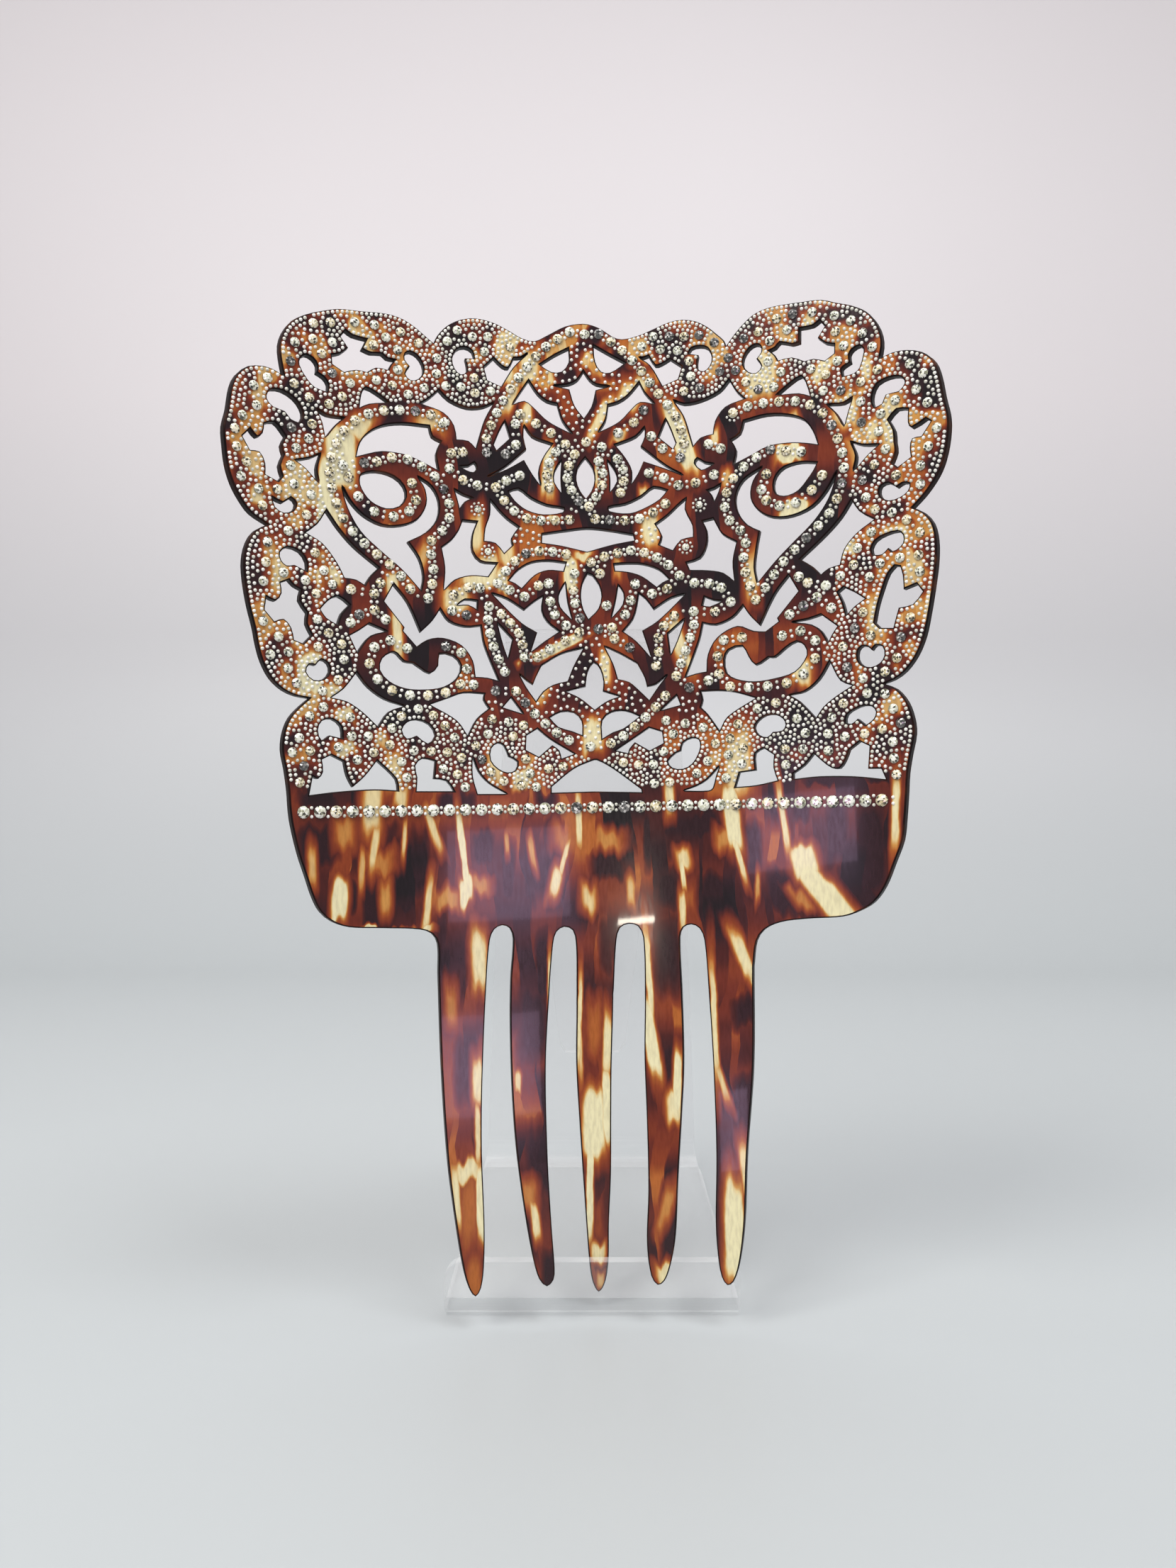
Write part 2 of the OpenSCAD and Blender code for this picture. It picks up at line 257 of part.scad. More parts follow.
// The comb was sawn by hand: a mark on the mirrored left half, and where it is on the right half
// (across, up, across, up)
marks = [
    [27.1, 214.8, 26.8, 213.9], [28, 208.4, 27.5, 208], [25.1, 212.3, 24.3, 212.4],
    [29.9, 211.9, 29.4, 211], [12.7, 214.1, 12.9, 212.5], [16, 212.8, 15.1, 212.7],
    [17.3, 210.4, 16.6, 210.3], [20.6, 212.6, 20, 211.6], [22.8, 210.4, 22.6, 209.6],
    [19, 206.1, 18.2, 205.5], [10, 211.4, 9.7, 211.4], [3.4, 215.2, 2.5, 215.8], [3.4, 211.9, 2.8, 212],
    [7.4, 209.7, 6.2, 209.3], [12.7, 207.6, 12.8, 206.6], [16.5, 201.9, 16.2, 201.4],
    [13.8, 202.9, 13, 202.1], [6.3, 202.2, 5.6, 201.7], [2.8, 195.1, 3.2, 195.4],
    [13.9, 197.1, 13.8, 196.1], [7.6, 192.8, 7, 192.3], [14.1, 189.1, 13.4, 188.2],
    [13.5, 191.6, 12.8, 191.7], [22.6, 184.9, 22.5, 184.3], [10.4, 183.1, 10.5, 183],
    [18.3, 198, 18.7, 197.6], [17.2, 194.1, 17, 193.6], [20.3, 191.2, 20.2, 190.7],
    [33, 204.4, 33.1, 205.3], [20.7, 202.3, 20.6, 201.9], [25, 191.5, 24.8, 191],
    [29.2, 193.3, 29.2, 193.3], [37, 201, 36.3, 200.6], [26.8, 200.7, 26.6, 201.2],
    [35.3, 195.9, 36.1, 195.5], [32.8, 192.6, 33.2, 191.5], [33.4, 185.9, 33.7, 185.9],
    [28.6, 187.1, 29.2, 186.4], [24.9, 187, 25.1, 186.9], [25.6, 185.9, 26.5, 185.3],
    [60.5, 208.5, 60.3, 208], [61.7, 206, 60.9, 205.7], [58.5, 205, 58.5, 204.8],
    [56.5, 201.1, 57, 202], [52.6, 215.5, 52.6, 215.5], [52.1, 211.7, 52.1, 211.7],
    [55.3, 207.5, 55.3, 207.5], [48.4, 214.2, 48.5, 214.6], [49.4, 211.9, 48.4, 211.5],
    [45.2, 211.4, 44.3, 212.2], [43.9, 207.9, 43.8, 208.2], [48.3, 206.8, 49.3, 207],
    [53, 206.1, 53.4, 206.3], [39, 206.1, 39, 206.1], [39.1, 212.6, 39.1, 212.6],
    [48.6, 203.2, 48.5, 203.7], [43.8, 200.5, 43.3, 200.4], [58.5, 197, 58.7, 197],
    [53.2, 195.8, 53.7, 196.4], [56.9, 191, 56.9, 191], [62, 193.3, 62.9, 193.8],
    [61.3, 194.8, 62.5, 195], [67.9, 197.4, 68.5, 197.6], [66.9, 199.6, 67.4, 199.4],
    [64.6, 195.3, 65, 196.1], [66.6, 192.5, 67, 192.3], [68.4, 191.8, 69, 191.9],
    [64.6, 189.9, 65.4, 190.5], [65.4, 187.8, 66.4, 188], [65, 185.8, 66.5, 185.5],
    [65.3, 181, 65.8, 181], [66.1, 179.8, 66.8, 179.9], [68.3, 180.9, 69.2, 181.5],
    [71, 185.6, 71.2, 185.5], [72.3, 188.3, 72.9, 188.2], [71, 190.1, 72.1, 189],
    [69.8, 188.6, 69.5, 187.7], [62.7, 184.9, 63.4, 185.5], [58.4, 180.6, 58.5, 180.7],
    [58, 187.1, 58.2, 187.2], [50.7, 187.5, 51.5, 187.9], [48, 193.2, 48.7, 193.9],
    [45, 195.1, 45.5, 195.5], [41, 196, 41, 196.2], [45.4, 189.3, 45.2, 189.3],
    [53.8, 180.6, 55.3, 181.5], [52.6, 175.8, 53.4, 175.7], [50, 170.8, 50.3, 171],
    [46, 166.8, 46, 166.8], [49.5, 174.4, 50.1, 174.2], [38, 184.2, 39.9, 184.6],
    [36.3, 181.4, 37.7, 181.6], [36.1, 177.8, 37.1, 177.8], [38, 174.4, 38.6, 174.8],
    [41.5, 172.7, 41.7, 172.8], [35, 182.1, 35.7, 182], [33.5, 178.8, 34, 178.6],
    [33.9, 174.8, 34.3, 175], [36.4, 171.5, 36.4, 171.7], [40.3, 169.2, 39, 170.1],
    [38, 165.6, 38.2, 166], [37.1, 161.6, 37.7, 161.9], [37.6, 158.3, 38.2, 158.4],
    [29.9, 181.7, 30.7, 181.6], [25.9, 179.9, 27.8, 180.4], [28.8, 177.5, 29.2, 177.8],
    [28.2, 174.6, 28.8, 173.8], [25.1, 174.4, 26.5, 173.4], [26.2, 171.3, 27.4, 171.3],
    [26.2, 167.6, 27.3, 168], [24.4, 165.3, 25.7, 165], [20.8, 164.9, 22.7, 164.1],
    [22.8, 161.9, 23.4, 162.4], [32.6, 158.6, 33.1, 159.2], [32.9, 168.2, 33.8, 168],
    [30.6, 170.1, 30.7, 170.1], [21.9, 179.6, 22.9, 179], [15.6, 173.4, 15.9, 173.4],
    [17.4, 170.8, 17.3, 170.7], [17.1, 169.2, 16.6, 168.6], [19, 167.4, 19.6, 167.2],
    [23.4, 170.1, 24.2, 170], [22, 176.2, 22.5, 176.4], [17.7, 181.6, 18.6, 181.1],
    [15.5, 182.3, 15.6, 182], [13.6, 177.4, 13.6, 177.4], [5.2, 177.8, 5.2, 177.8],
    [5.5, 189, 5.1, 188.8], [5.6, 181.4, 5.6, 181.4], [10.2, 171.8, 10.6, 171.2],
    [10.3, 169.8, 10.9, 169.9], [5, 172.5, 5, 172.4], [5.9, 169.1, 5.9, 169.1], [5, 165.1, 6.2, 164.5],
    [5.6, 163.2, 6.4, 163], [9, 165.6, 9, 164.6], [12.8, 165.2, 12.6, 164.3], [18, 161, 18.6, 160.5],
    [15.2, 159.3, 15.8, 158.9], [12.1, 162.4, 12.5, 161.5], [5.2, 160.5, 7, 159.6],
    [6.7, 157.5, 8.1, 157.8], [3.8, 151.9, 5.3, 152.1], [4.8, 156, 6.4, 156.3], [22, 158, 22.2, 156.9],
    [14.7, 154.2, 14.9, 153.7], [10.4, 157.4, 11.7, 157.5], [10.8, 154.2, 11.2, 154.7],
    [6.8, 149.2, 7.9, 148.9], [13.3, 144.6, 14.1, 142.7], [11.8, 149, 12.2, 148.9],
    [29.7, 155.1, 30.4, 154.8], [25.3, 156.2, 26.5, 156], [25.4, 154.3, 26, 154.1],
    [27.3, 155.3, 27.6, 153.7], [43.4, 159.3, 44.8, 159.4], [40.6, 155.5, 41.8, 155.5],
    [37.8, 148.7, 38.4, 148.6], [33.5, 154.1, 34.9, 153.4], [31.6, 151.4, 32.6, 150.9],
    [28, 150.2, 28.8, 149.4], [24.6, 150.5, 26, 150], [23.9, 146.1, 25.1, 146.2],
    [20.8, 137.9, 21.9, 137.9], [25.9, 138.8, 26.5, 138.9], [26.5, 142.6, 26.9, 142.8],
    [28.9, 146, 29.1, 146.6], [33, 147.6, 33.6, 148.9], [38.7, 145.5, 39.6, 147.2],
    [41.5, 148.9, 42.4, 149.2], [45.4, 155.4, 46.7, 155.6], [44, 144, 46.1, 144.4],
    [46, 142.5, 47.6, 143.4], [46.5, 140, 48.1, 141.2], [44.6, 137.5, 45.6, 137.8],
    [41.2, 136, 41.2, 136.5], [37, 135.8, 36.8, 136.1], [33, 136.5, 33, 136.9], [30, 138.7, 31, 138.4],
    [29.2, 141.4, 30.6, 141.5], [30.8, 143.5, 31.5, 143.5], [33.8, 143.9, 34.5, 144.2],
    [34.1, 141.2, 35.8, 141.7], [35.9, 139.4, 37.3, 139.7], [38, 140.6, 39.4, 140.8],
    [39.5, 141.7, 40.1, 141.3], [41.5, 142, 41.4, 141.2], [43, 143.7, 43.9, 143.2],
    [36, 132.4, 37.1, 132.3], [24.1, 134.9, 25.2, 134.4], [28.6, 135.1, 28.6, 134.4],
    [23.1, 131.6, 25.1, 130.8], [24.3, 133.6, 25.6, 132.5], [27.9, 125.4, 29.1, 125.3],
    [25.8, 129.3, 26.5, 129.3], [30.2, 128.8, 30.9, 128.4], [18, 134, 19.7, 133.7],
    [15.4, 130.3, 16, 130.4], [19.9, 131.8, 20.5, 131.5], [12.2, 126.8, 13.3, 126.5],
    [14.7, 125.3, 16.2, 125.5], [14.9, 122, 16.5, 122.9], [12, 120.4, 13.3, 121.3],
    [8.9, 123, 10, 123.3], [7.3, 121.8, 8.7, 121.8], [6.8, 119.9, 8.4, 120.8], [3.9, 120.9, 5.7, 121.5],
    [9.3, 129.3, 11.2, 129.2], [6.8, 130.6, 8, 130.5], [3.8, 130.4, 4.8, 130.3],
    [2.1, 128.5, 2.7, 128.5], [2, 125.2, 2.6, 124.3], [7.4, 127.2, 7.4, 126.5],
    [1.3, 145.3, 3.6, 145.5], [6.4, 144, 7, 143.8], [10.9, 141.4, 10.9, 141.4], [13, 137, 13, 136],
    [14.4, 137.9, 15, 136.4], [16.1, 139.5, 17.8, 138.6], [12.4, 133.2, 13.5, 132.9],
    [14.6, 136.5, 15.7, 136], [8.4, 136.9, 9, 137.2], [5.1, 137.7, 6.5, 137.9],
    [3.6, 141.3, 5.5, 141.4], [9.2, 113.4, 11.2, 112.4], [9.2, 112.1, 11.3, 111.8],
    [4, 117.5, 4.6, 117.5], [20.8, 151.2, 21.9, 151.2], [17.5, 147.5, 18.1, 148],
    [18.6, 143.1, 18.6, 143.1], [51.3, 139.2, 52.7, 139.4], [56.4, 133.5, 57, 133.7],
    [47.1, 127.3, 49.6, 127.1], [41.5, 132, 44.3, 132.5], [49, 136, 50.5, 135.6],
    [45.6, 133.4, 47.5, 133.1], [44.8, 130.7, 46.3, 131.1], [50.3, 130.6, 51.2, 129.5],
    [53.4, 132.8, 54, 131.8], [0, 210, 0, 210], [0, 190, 0, 190], [0, 170, 0, 170], [0, 150, 0, 150]];

// Left halves of the openings on the comb's middle line, each from top to bottom
middle_openings = [
    [[0, 209.8, 1], [-1.4, 207.8], [-3.4, 206.8], [-7, 206.5, 1], [-3.3, 205.6, 1], [-2.2, 201.8],
     [-0.1, 198.8, 1]],
    [[0, 189.5, 1], [-1.7, 187.2], [-2.1, 184.3], [-1.3, 181.8], [0, 180, 1]],
    [[0, 173], [-5, 172.5], [-10.2, 171.8, 1], [-10.3, 169.8, 1], [-5.9, 169.1], [0, 167.6, 1]],
    [[0, 162.5, 1], [-1.2, 160.2], [-1.6, 157], [-1.1, 154.2], [0, 152, 1]],
    [[0, 119.2], [-4, 117.5], [-9.2, 113.4, 1], [-9.2, 112.1, 1], [0, 112.2]]];

bottom_lily = [
    [1, 141.9], [-0.4, 139.8], [-1, 136.4, 1], [-2.8, 136], [-5.5, 135.3, 1], [-2.4, 133.8], [1, 131, 1],
    [2.4, 132], [4.2, 133.1], [6.8, 133.9, 1], [2.9, 135.2, 1], [3.1, 137.4], [2.4, 140.4]];

// Rows of stones on the left half: how many, and the line that they follow
stone_rows = [
    [12, [[-3, 218.9], [-8.8, 215.3], [-13, 210.7], [-17.2, 205.1], [-20.8, 198.5], [-23, 192.1],
          [-21.9, 188.8]]],
    [4, [[-6.8, 190.8], [-8.8, 187.4], [-8.8, 184.1], [-8, 181]]],
    [5, [[-2.4, 190.2], [-4.1, 186.9], [-4.1, 183.7], [-2.7, 180.7], [-0.6, 178]]],
    [6, [[-18.9, 179.4], [-16.6, 177], [-13.7, 175.3], [-9.8, 174.8], [-2, 175.1]]],
    [14, [[-46.8, 186.6], [-43.5, 187.9], [-40.7, 187.9], [-37, 186.2], [-33.8, 183.6], [-31.3, 178.5],
          [-31.8, 173.5], [-36, 168.6], [-35.1, 165.3], [-35.3, 160], [-36.9, 154.6]]],
    [20, [[-32, 196.9], [-35.5, 198.6], [-42.5, 198.8], [-48.7, 197.1], [-53.2, 193.1], [-56.2, 186],
          [-56.2, 180.5], [-53.7, 172.9], [-49.1, 167.4], [-43.3, 162.6], [-39.1, 156.9]]],
    [13, [[-41, 144.9], [-44.7, 146.6], [-48.3, 144.5], [-48.7, 139.8], [-45.1, 135.8], [-41.2, 134.4],
          [-35, 134.6], [-30.2, 136.2], [-28, 140.5], [-30, 145.2], [-34, 145.6]]],
    [6, [[-22.8, 154.9], [-23.1, 151.3], [-21.6, 144.7], [-18.7, 138.4]]],
    [6, [[-17, 135.4], [-12.4, 129.8], [-6.7, 124.9], [-3.4, 123.3]]],
    [6, [[-18.8, 163.1], [-16.9, 165.2], [-13.9, 167.3], [-10.2, 167.8], [-3.1, 166.7]]],
    [5, [[-20, 153.2], [-17.6, 150.6], [-15.5, 147.9], [-15.3, 144.9], [-14.4, 141.6]]]];
band_row_v = 108.5;
band_row_end = 62.4;

// Smooth outlines: a curve through the points of a chart, which turns only at the sharp ones.
function scaled(p) = [p[0] * ku, p[1] * kv];
function is_sharp(p) = len(p) > 2;
function unit(a) = a / norm(a);
function heading(before, here, after, towards) =
    is_sharp(here) ? unit(towards) : (after - before) / (norm(after - here) + norm(here - before));
function curve(a, b, start, end, t) =
    let (run = norm(b - a), t2 = t * t, t3 = t2 * t)
    (2 * t3 - 3 * t2 + 1) * a + (t3 - 2 * t2 + t) * run * start
    + (3 * t2 - 2 * t3) * b + (t3 - t2) * run * end;
function stretch(before, a, b, after, step) =
    let (p0 = scaled(before), p1 = scaled(a), p2 = scaled(b), p3 = scaled(after), run = p2 - p1,
         cuts = max(2, ceil(norm(run) / step)),
         start = is_sharp(a) ? unit(run) : heading(p0, p1, p2, run),
         end = is_sharp(b) ? unit(run) : heading(p1, p2, p3, run))
    [for (i = [0:cuts - 1]) curve(p1, p2, start, end, i / cuts)];
function closed(chart, step) =
    let (n = len(chart))
    [for (i = [0:n - 1])
        each stretch(chart[(i + n - 1) % n], chart[i], chart[(i + 1) % n], chart[(i + 2) % n], step)];
function opened(chart, step) =
    let (n = len(chart))
    [for (i = [0:n - 2])
        each stretch(chart[max(i - 1, 0)], chart[i], chart[i + 1], chart[min(i + 2, n - 1)], step)];
function flipped(chart) =
    [for (i = [len(chart) - 1:-1:0]) let (p = chart[i]) is_sharp(p) ? [-p[0], p[1], 1] : [-p[0], p[1]]];
function weight(p, row) =
    1 / pow(pow(p[0] - row[0], 2) + pow(p[1] - row[1], 2) + 0.3, 2);
function drift(p, k, weights, total) =
    let (parts = [for (i = [0:len(marks) - 1]) weights[i] * (marks[i][k + 2] - marks[i][k])])
    parts * [for (w = weights) 1] / total;
function drifted(p) =
    let (weights = [for (row = marks) weight(p, row)],
         total = weights * [for (w = weights) 1],
         across = p[0] + drift(p, 0, weights, total),
         up = p[1] + drift(p, 1, weights, total))
    is_sharp(p) ? [across, up, 1] : [across, up];
function right_half(chart) = [for (p = flipped(chart)) drifted(p)];
function whole(half) = concat(half, [for (p = right_half(half)) if (p[0] > 0.3) p]);

edge_step = 1.6;

module crest_and_teeth() {
    left = concat(crest_edge, tooth_edge);
    right = concat(right_edge, right_tooth_edge);
    turned = [for (i = [len(right) - 1:-1:0]) right[i]];
    polygon(closed(concat(left, turned), edge_step));
}

module pattern() {
    difference() {
        crest_and_teeth();
        for (chart = openings) polygon(closed(chart, edge_step));
        for (chart = openings) polygon(closed(right_half(chart), edge_step));
        for (chart = middle_openings) polygon(closed(whole(chart), edge_step));
        for (chart = left_openings) polygon(closed(chart, edge_step));
        for (chart = right_openings) polygon(closed(chart, edge_step));
        polygon(closed(bottom_lily, edge_step));
    }
}

// The middle tooth: its outline from the front, and its front face from the side (back, up).
middle_tooth = [
    [-4.5, 68, 1], [-4.6, 62], [-4.9, 50], [-4.5, 37.4], [-3.8, 20.4], [-3.1, 5.2], [-2.6, -0.5],
    [-1.9, -3.2], [-0.9, -4.6], [0.2, -3.4], [1, -1], [1.6, 4], [1.8, 12], [2.5, 24], [2.8, 37],
    [3.1, 49], [3.7, 62], [3.9, 68, 1]];
tooth_bend = [
    [0.03, 68, 1], [0.05, 62], [0.5, 52], [1.6, 42], [3.2, 32], [5.1, 22], [7, 12], [8.3, 4],
    [9.4, -5, 1]];
tooth_slim = 0.1;

module upright(depth, back) {
    translate([0, back, 0]) rotate([90, 0, 0]) linear_extrude(height = depth) children();
}

module bent_tooth() {
    front = opened(tooth_bend, 3);
    thick = [for (i = [len(front) - 1:-1:0]) front[i] + [comb_t - tooth_slim, 0]];
    intersection() {
        upright(20, 15) polygon(closed(middle_tooth, edge_step));
        translate([-10, 0, 0]) rotate([90, 0, 90]) linear_extrude(height = 20)
            polygon(concat(front, [tooth_bend[len(tooth_bend) - 1] * [[1, 0], [0, 1], [0, 0]]], thick));
    }
}

module hung() {
    translate([foot_x, foot_y, foot_z]) rotate([0, -comb_roll, 0]) rotate([-comb_lean, 0, 0]) children();
}

module comb() {
    color("saddlebrown") hung() {
        intersection() {
            upright(60, 10) pattern();
            translate([0, -bend_r, -10]) difference() {
                cylinder(h = 250, r = bend_r + comb_t, $fn = 240);
                translate([0, 0, -1]) cylinder(h = 252, r = bend_r, $fn = 240);
            }
        }
        bent_tooth();
    }
}

// A stone with eight facets and a flat table, standing on the comb's face.
module stone(p, d) {
    turn = asin(p[0] / bend_r);
    translate([p[0], -bend_r + bend_r * cos(turn), p[1]]) rotate([0, 0, -turn]) rotate([90, 0, 0])
        translate([0, 0, seat]) rotate([0, 0, 22.5])
            cylinder(h = stone_h, d1 = d, d2 = 0.55 * d, $fn = 8);
}

function running(path) =
    [for (i = 0, s = 0; i < len(path);
        s = s + (i + 1 < len(path) ? norm(path[i + 1] - path[i]) : 0), i = i + 1) s];
function at_length(path, runs, s) =
    let (i = max([for (k = [0:len(path) - 2]) if (runs[k] <= s + 0.0001) k]),
         t = (s - runs[i]) / (runs[i + 1] - runs[i]))
    path[i] + t * (path[i + 1] - path[i]);
function spread(path, count) =
    let (runs = running(path), total = runs[len(runs) - 1])
    [for (k = [0:count - 1]) at_length(path, runs, total * k / (count - 1))];

module band_stones() {
    sweep = 2 * asin(band_row_end / bend_r);
    color("ivory") hung()
        for (k = [0:band_stones_n - 1]) {
            turn = sweep * (k / (band_stones_n - 1) - 0.5);
            stone([bend_r * sin(turn), band_row_v * kv], band_stone_d);
        }
}

module strap_stones() {
    color("lightyellow") hung()
        for (row = stone_rows) {
            for (p = spread(opened(row[1], 2), row[0])) stone(p, strap_stone_d);
            for (p = spread(opened(right_half(row[1]), 2), row[0])) stone(p, strap_stone_d);
        }
}

// The stand's strip from the side, along the middle of its thickness (back, up), and its bends' radii.
lip_y = foot_y + comb_t + 2.1 + sheet_t / 2;
rear_y = lip_y - sheet_t / 2 + base_d - sheet_t / 2;
tongue_gap = comb_t + clear + sheet_t / 2;
top_y = foot_y + (stand_h - foot_z) * tan(comb_lean) + tongue_gap;
end_y = foot_y + (tongue_z - foot_z) * tan(comb_lean) + tongue_gap;
strip = [
    [lip_y, lip_h], [lip_y, sheet_t / 2], [rear_y, sheet_t / 2], [top_y, stand_h + 3], [end_y, tongue_z]];
bend_radii = [0, 3, 4, 2.6, 0];

function left_of(v) = [-v[1], v[0]];
function bend_arc(a, b, c, r) =
    let (u = unit(b - a), v = unit(c - b), angle = acos(u * v),
         side = u[0] * v[1] - u[1] * v[0] > 0 ? 1 : -1,
         start = b - u * r * tan(angle / 2), centre = start + side * r * left_of(u))
    [for (k = [0:8]) let (w = angle * k / 8)
        [centre + r * (-side * cos(w) * left_of(u) + sin(w) * u), cos(w) * u + side * sin(w) * left_of(u)]];
function strip_line(first, last) =
    [for (i = [first:last])
        each i == first ? [[strip[i], unit(strip[i + 1] - strip[i])]]
            : i == last ? [[strip[i], unit(strip[i] - strip[i - 1])]]
            : bend_arc(strip[i - 1], strip[i], strip[i + 1], bend_radii[i])];

module strip_side(first, last) {
    line = strip_line(first, last);
    upper = [for (q = line) q[0] + left_of(q[1]) * sheet_t / 2];
    lower = [for (i = [len(line) - 1:-1:0]) line[i][0] - left_of(line[i][1]) * sheet_t / 2];
    translate([-50, 0, 0]) rotate([90, 0, 90]) linear_extrude(height = 100) polygon(concat(upper, lower));
}

function round_corner(x, y, r, from) =
    [for (k = [0:6]) [x + r * cos(from + 15 * k), y + r * sin(from + 15 * k)]];

module lip_and_base_mask() {
    half = stand_w / 2;
    top = concat(round_corner(half - 4, lip_h - 4, 4, 0), round_corner(4 - half, lip_h - 4, 4, 90));
    upright(150, 65) polygon(concat([[half, -1]], top, [[-half, -1]]));
}

module leg_mask() {
    half = stand_w / 2;
    upright(200, 100) polygon([[half, -1], [top_w / 2, stand_h], [top_w / 2, stand_h + 10],
        [-top_w / 2, stand_h + 10], [-top_w / 2, stand_h], [-half, -1]]);
}

module tongue_mask() {
    end = tongue_w / 2;
    low = tongue_z + 2;
    upright(200, 100) polygon([[end - 2, tongue_z - 1], [end, low], [top_w / 2, stand_h],
        [top_w / 2, stand_h + 10], [-top_w / 2, stand_h + 10], [-top_w / 2, stand_h], [-end, low],
        [2 - end, tongue_z - 1]]);
}

// The parts of the strip meet at these cuts: along the base, and up the gap between leg and tongue.
module before_cut() {
    translate([-60, -100, -5]) cube([120, rear_y - 20 + 100, 30]);
}

module stand() {
    color("lightcyan") {
        intersection() {
            strip_side(0, 3);
            lip_and_base_mask();
            before_cut();
        }
        difference() {
            intersection() {
                strip_side(1, 4);
                leg_mask();
            }
            before_cut();
            front_of_leg();
        }
        intersection() {
            strip_side(2, 4);
            tongue_mask();
            front_of_leg();
        }
    }
}

module front_of_leg() {
    translate([-50, 0, 0]) rotate([90, 0, 90]) linear_extrude(height = 100)
        polygon([[top_y - 20, tongue_z - 10], [top_y + 6, tongue_z - 10], [top_y + 1.2, stand_h - 6],
            [top_y - 20, stand_h - 6]]);
}

comb();
band_stones();
strap_stones();
stand();
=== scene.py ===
"""Looks of the mantilla comb on its display stand: the sheet, its stones and pins, the stand and the studio.

Points on the comb are given on its chart: millimetres across and up from its foot, seen from the front.
The chart is bent like the comb, hollow to the front, and it leans back and hangs a little to one side.
"""

import heapq
import math
import random

import bpy
import numpy as np
from mathutils import Matrix, Vector
from mathutils.geometry import delaunay_2d_cdt
from mathutils.kdtree import KDTree
from numpy.linalg import norm


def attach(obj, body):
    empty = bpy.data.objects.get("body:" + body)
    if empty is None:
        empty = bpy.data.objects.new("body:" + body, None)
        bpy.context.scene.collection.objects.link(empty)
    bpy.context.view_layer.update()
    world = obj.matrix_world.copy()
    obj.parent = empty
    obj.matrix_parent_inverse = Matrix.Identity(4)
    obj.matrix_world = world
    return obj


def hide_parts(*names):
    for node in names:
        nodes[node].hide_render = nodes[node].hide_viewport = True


MM = 0.001
# The sheet: the radius that it is bent to, its thickness, and how it hangs in the stand
BEND_R = 120.0
COMB_T = 2.2
HUNG = (
    Matrix.Translation((2.3, -64.5, 8.9))
    @ Matrix.Rotation(math.radians(-1.2), 4, "Y")
    @ Matrix.Rotation(math.radians(-2.0), 4, "X")
)
TO_ROW = np.array(HUNG)
TO_CHART = np.array(HUNG.inverted())
rng = random.Random(7)

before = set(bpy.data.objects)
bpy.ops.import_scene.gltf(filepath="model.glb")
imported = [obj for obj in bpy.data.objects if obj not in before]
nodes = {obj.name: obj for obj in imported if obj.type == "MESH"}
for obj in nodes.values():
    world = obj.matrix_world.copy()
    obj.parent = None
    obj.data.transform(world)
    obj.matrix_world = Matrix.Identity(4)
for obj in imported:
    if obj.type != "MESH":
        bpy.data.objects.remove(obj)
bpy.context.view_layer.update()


# The chart

# How far the middle tooth bends back below its seam with the band (up, back)
TOOTH_BEND = [(-5, 9.4), (4, 8.3), (12, 7), (22, 5.1), (32, 3.2), (42, 1.6), (52, 0.5), (62, 0.05), (66, 0)]
SEAM_V = 66.0
TOOTH_HALF = 6.0
# Below this height the teeth grow thinner, at their tips by this share
TIP_TOP = 14.0
TIP_THINNER = 0.3


def lengths(vectors):
    return norm(vectors, axis=1)


def smoothstep(x):
    x = np.clip(x, 0, 1)
    return x * x * (3 - 2 * x)


def on_sheet(chart, depth):
    """Points at a depth behind the comb's face, in metres in the row frame."""
    u, v = chart[:, 0], chart[:, 1]
    turn = np.arcsin(np.clip(u / BEND_R, -1, 1))
    thin = smoothstep((TIP_TOP - v) / TIP_TOP) * TIP_THINNER
    depth = depth + (COMB_T / 2 - depth) * thin
    middle = (np.abs(u) < TOOTH_HALF) & (v < SEAM_V)
    heights, backs = zip(*TOOTH_BEND)
    bend = np.interp(v, heights, backs)
    x = u + depth * np.sin(turn)
    y = BEND_R * (np.cos(turn) - 1) + depth * np.cos(turn) + np.where(middle, bend, 0)
    return (np.stack([x, y, v], 1) @ TO_ROW[:3, :3].T + TO_ROW[:3, 3]) * MM


def directions(chart):
    """Across, up and out of the face at points of the chart, as unit vectors in the row frame."""
    turn = np.arcsin(np.clip(chart[:, 0] / BEND_R, -1, 1))
    zero, one = np.zeros(len(chart)), np.ones(len(chart))
    across = np.stack([np.cos(turn), -np.sin(turn), zero], 1)
    up = np.stack([zero, zero, one], 1)
    out = np.stack([-np.sin(turn), -np.cos(turn), zero], 1)
    return [d @ TO_ROW[:3, :3].T for d in (across, up, out)]


def vertices_of(obj):
    co = np.empty(len(obj.data.vertices) * 3)
    obj.data.vertices.foreach_get("co", co)
    return co.reshape(-1, 3)


def triangles_of(obj):
    obj.data.calc_loop_triangles()
    tri = np.empty(len(obj.data.loop_triangles) * 3, int)
    obj.data.loop_triangles.foreach_get("vertices", tri)
    return tri.reshape(-1, 3)


def to_chart(points):
    return (points / MM) @ TO_CHART[:3, :3].T + TO_CHART[:3, 3]


# The comb's outlines, from the solid

# Points nearer than this are one point
SNAP = 0.002
# Where the round tip of the middle tooth is cut across, above its lowest point
TIP_RISES = (0.15, 0.5, 1.0, 1.7, 2.6, 3.8)
# A turn sharper than this many degrees stays a corner
CORNER = 46


def merged(points):
    """The points with those that coincide made one, and which of these each one became."""
    keys, ids = np.unique(np.round(points / SNAP).astype(int), axis=0, return_inverse=True)
    return keys * SNAP, ids.reshape(-1)


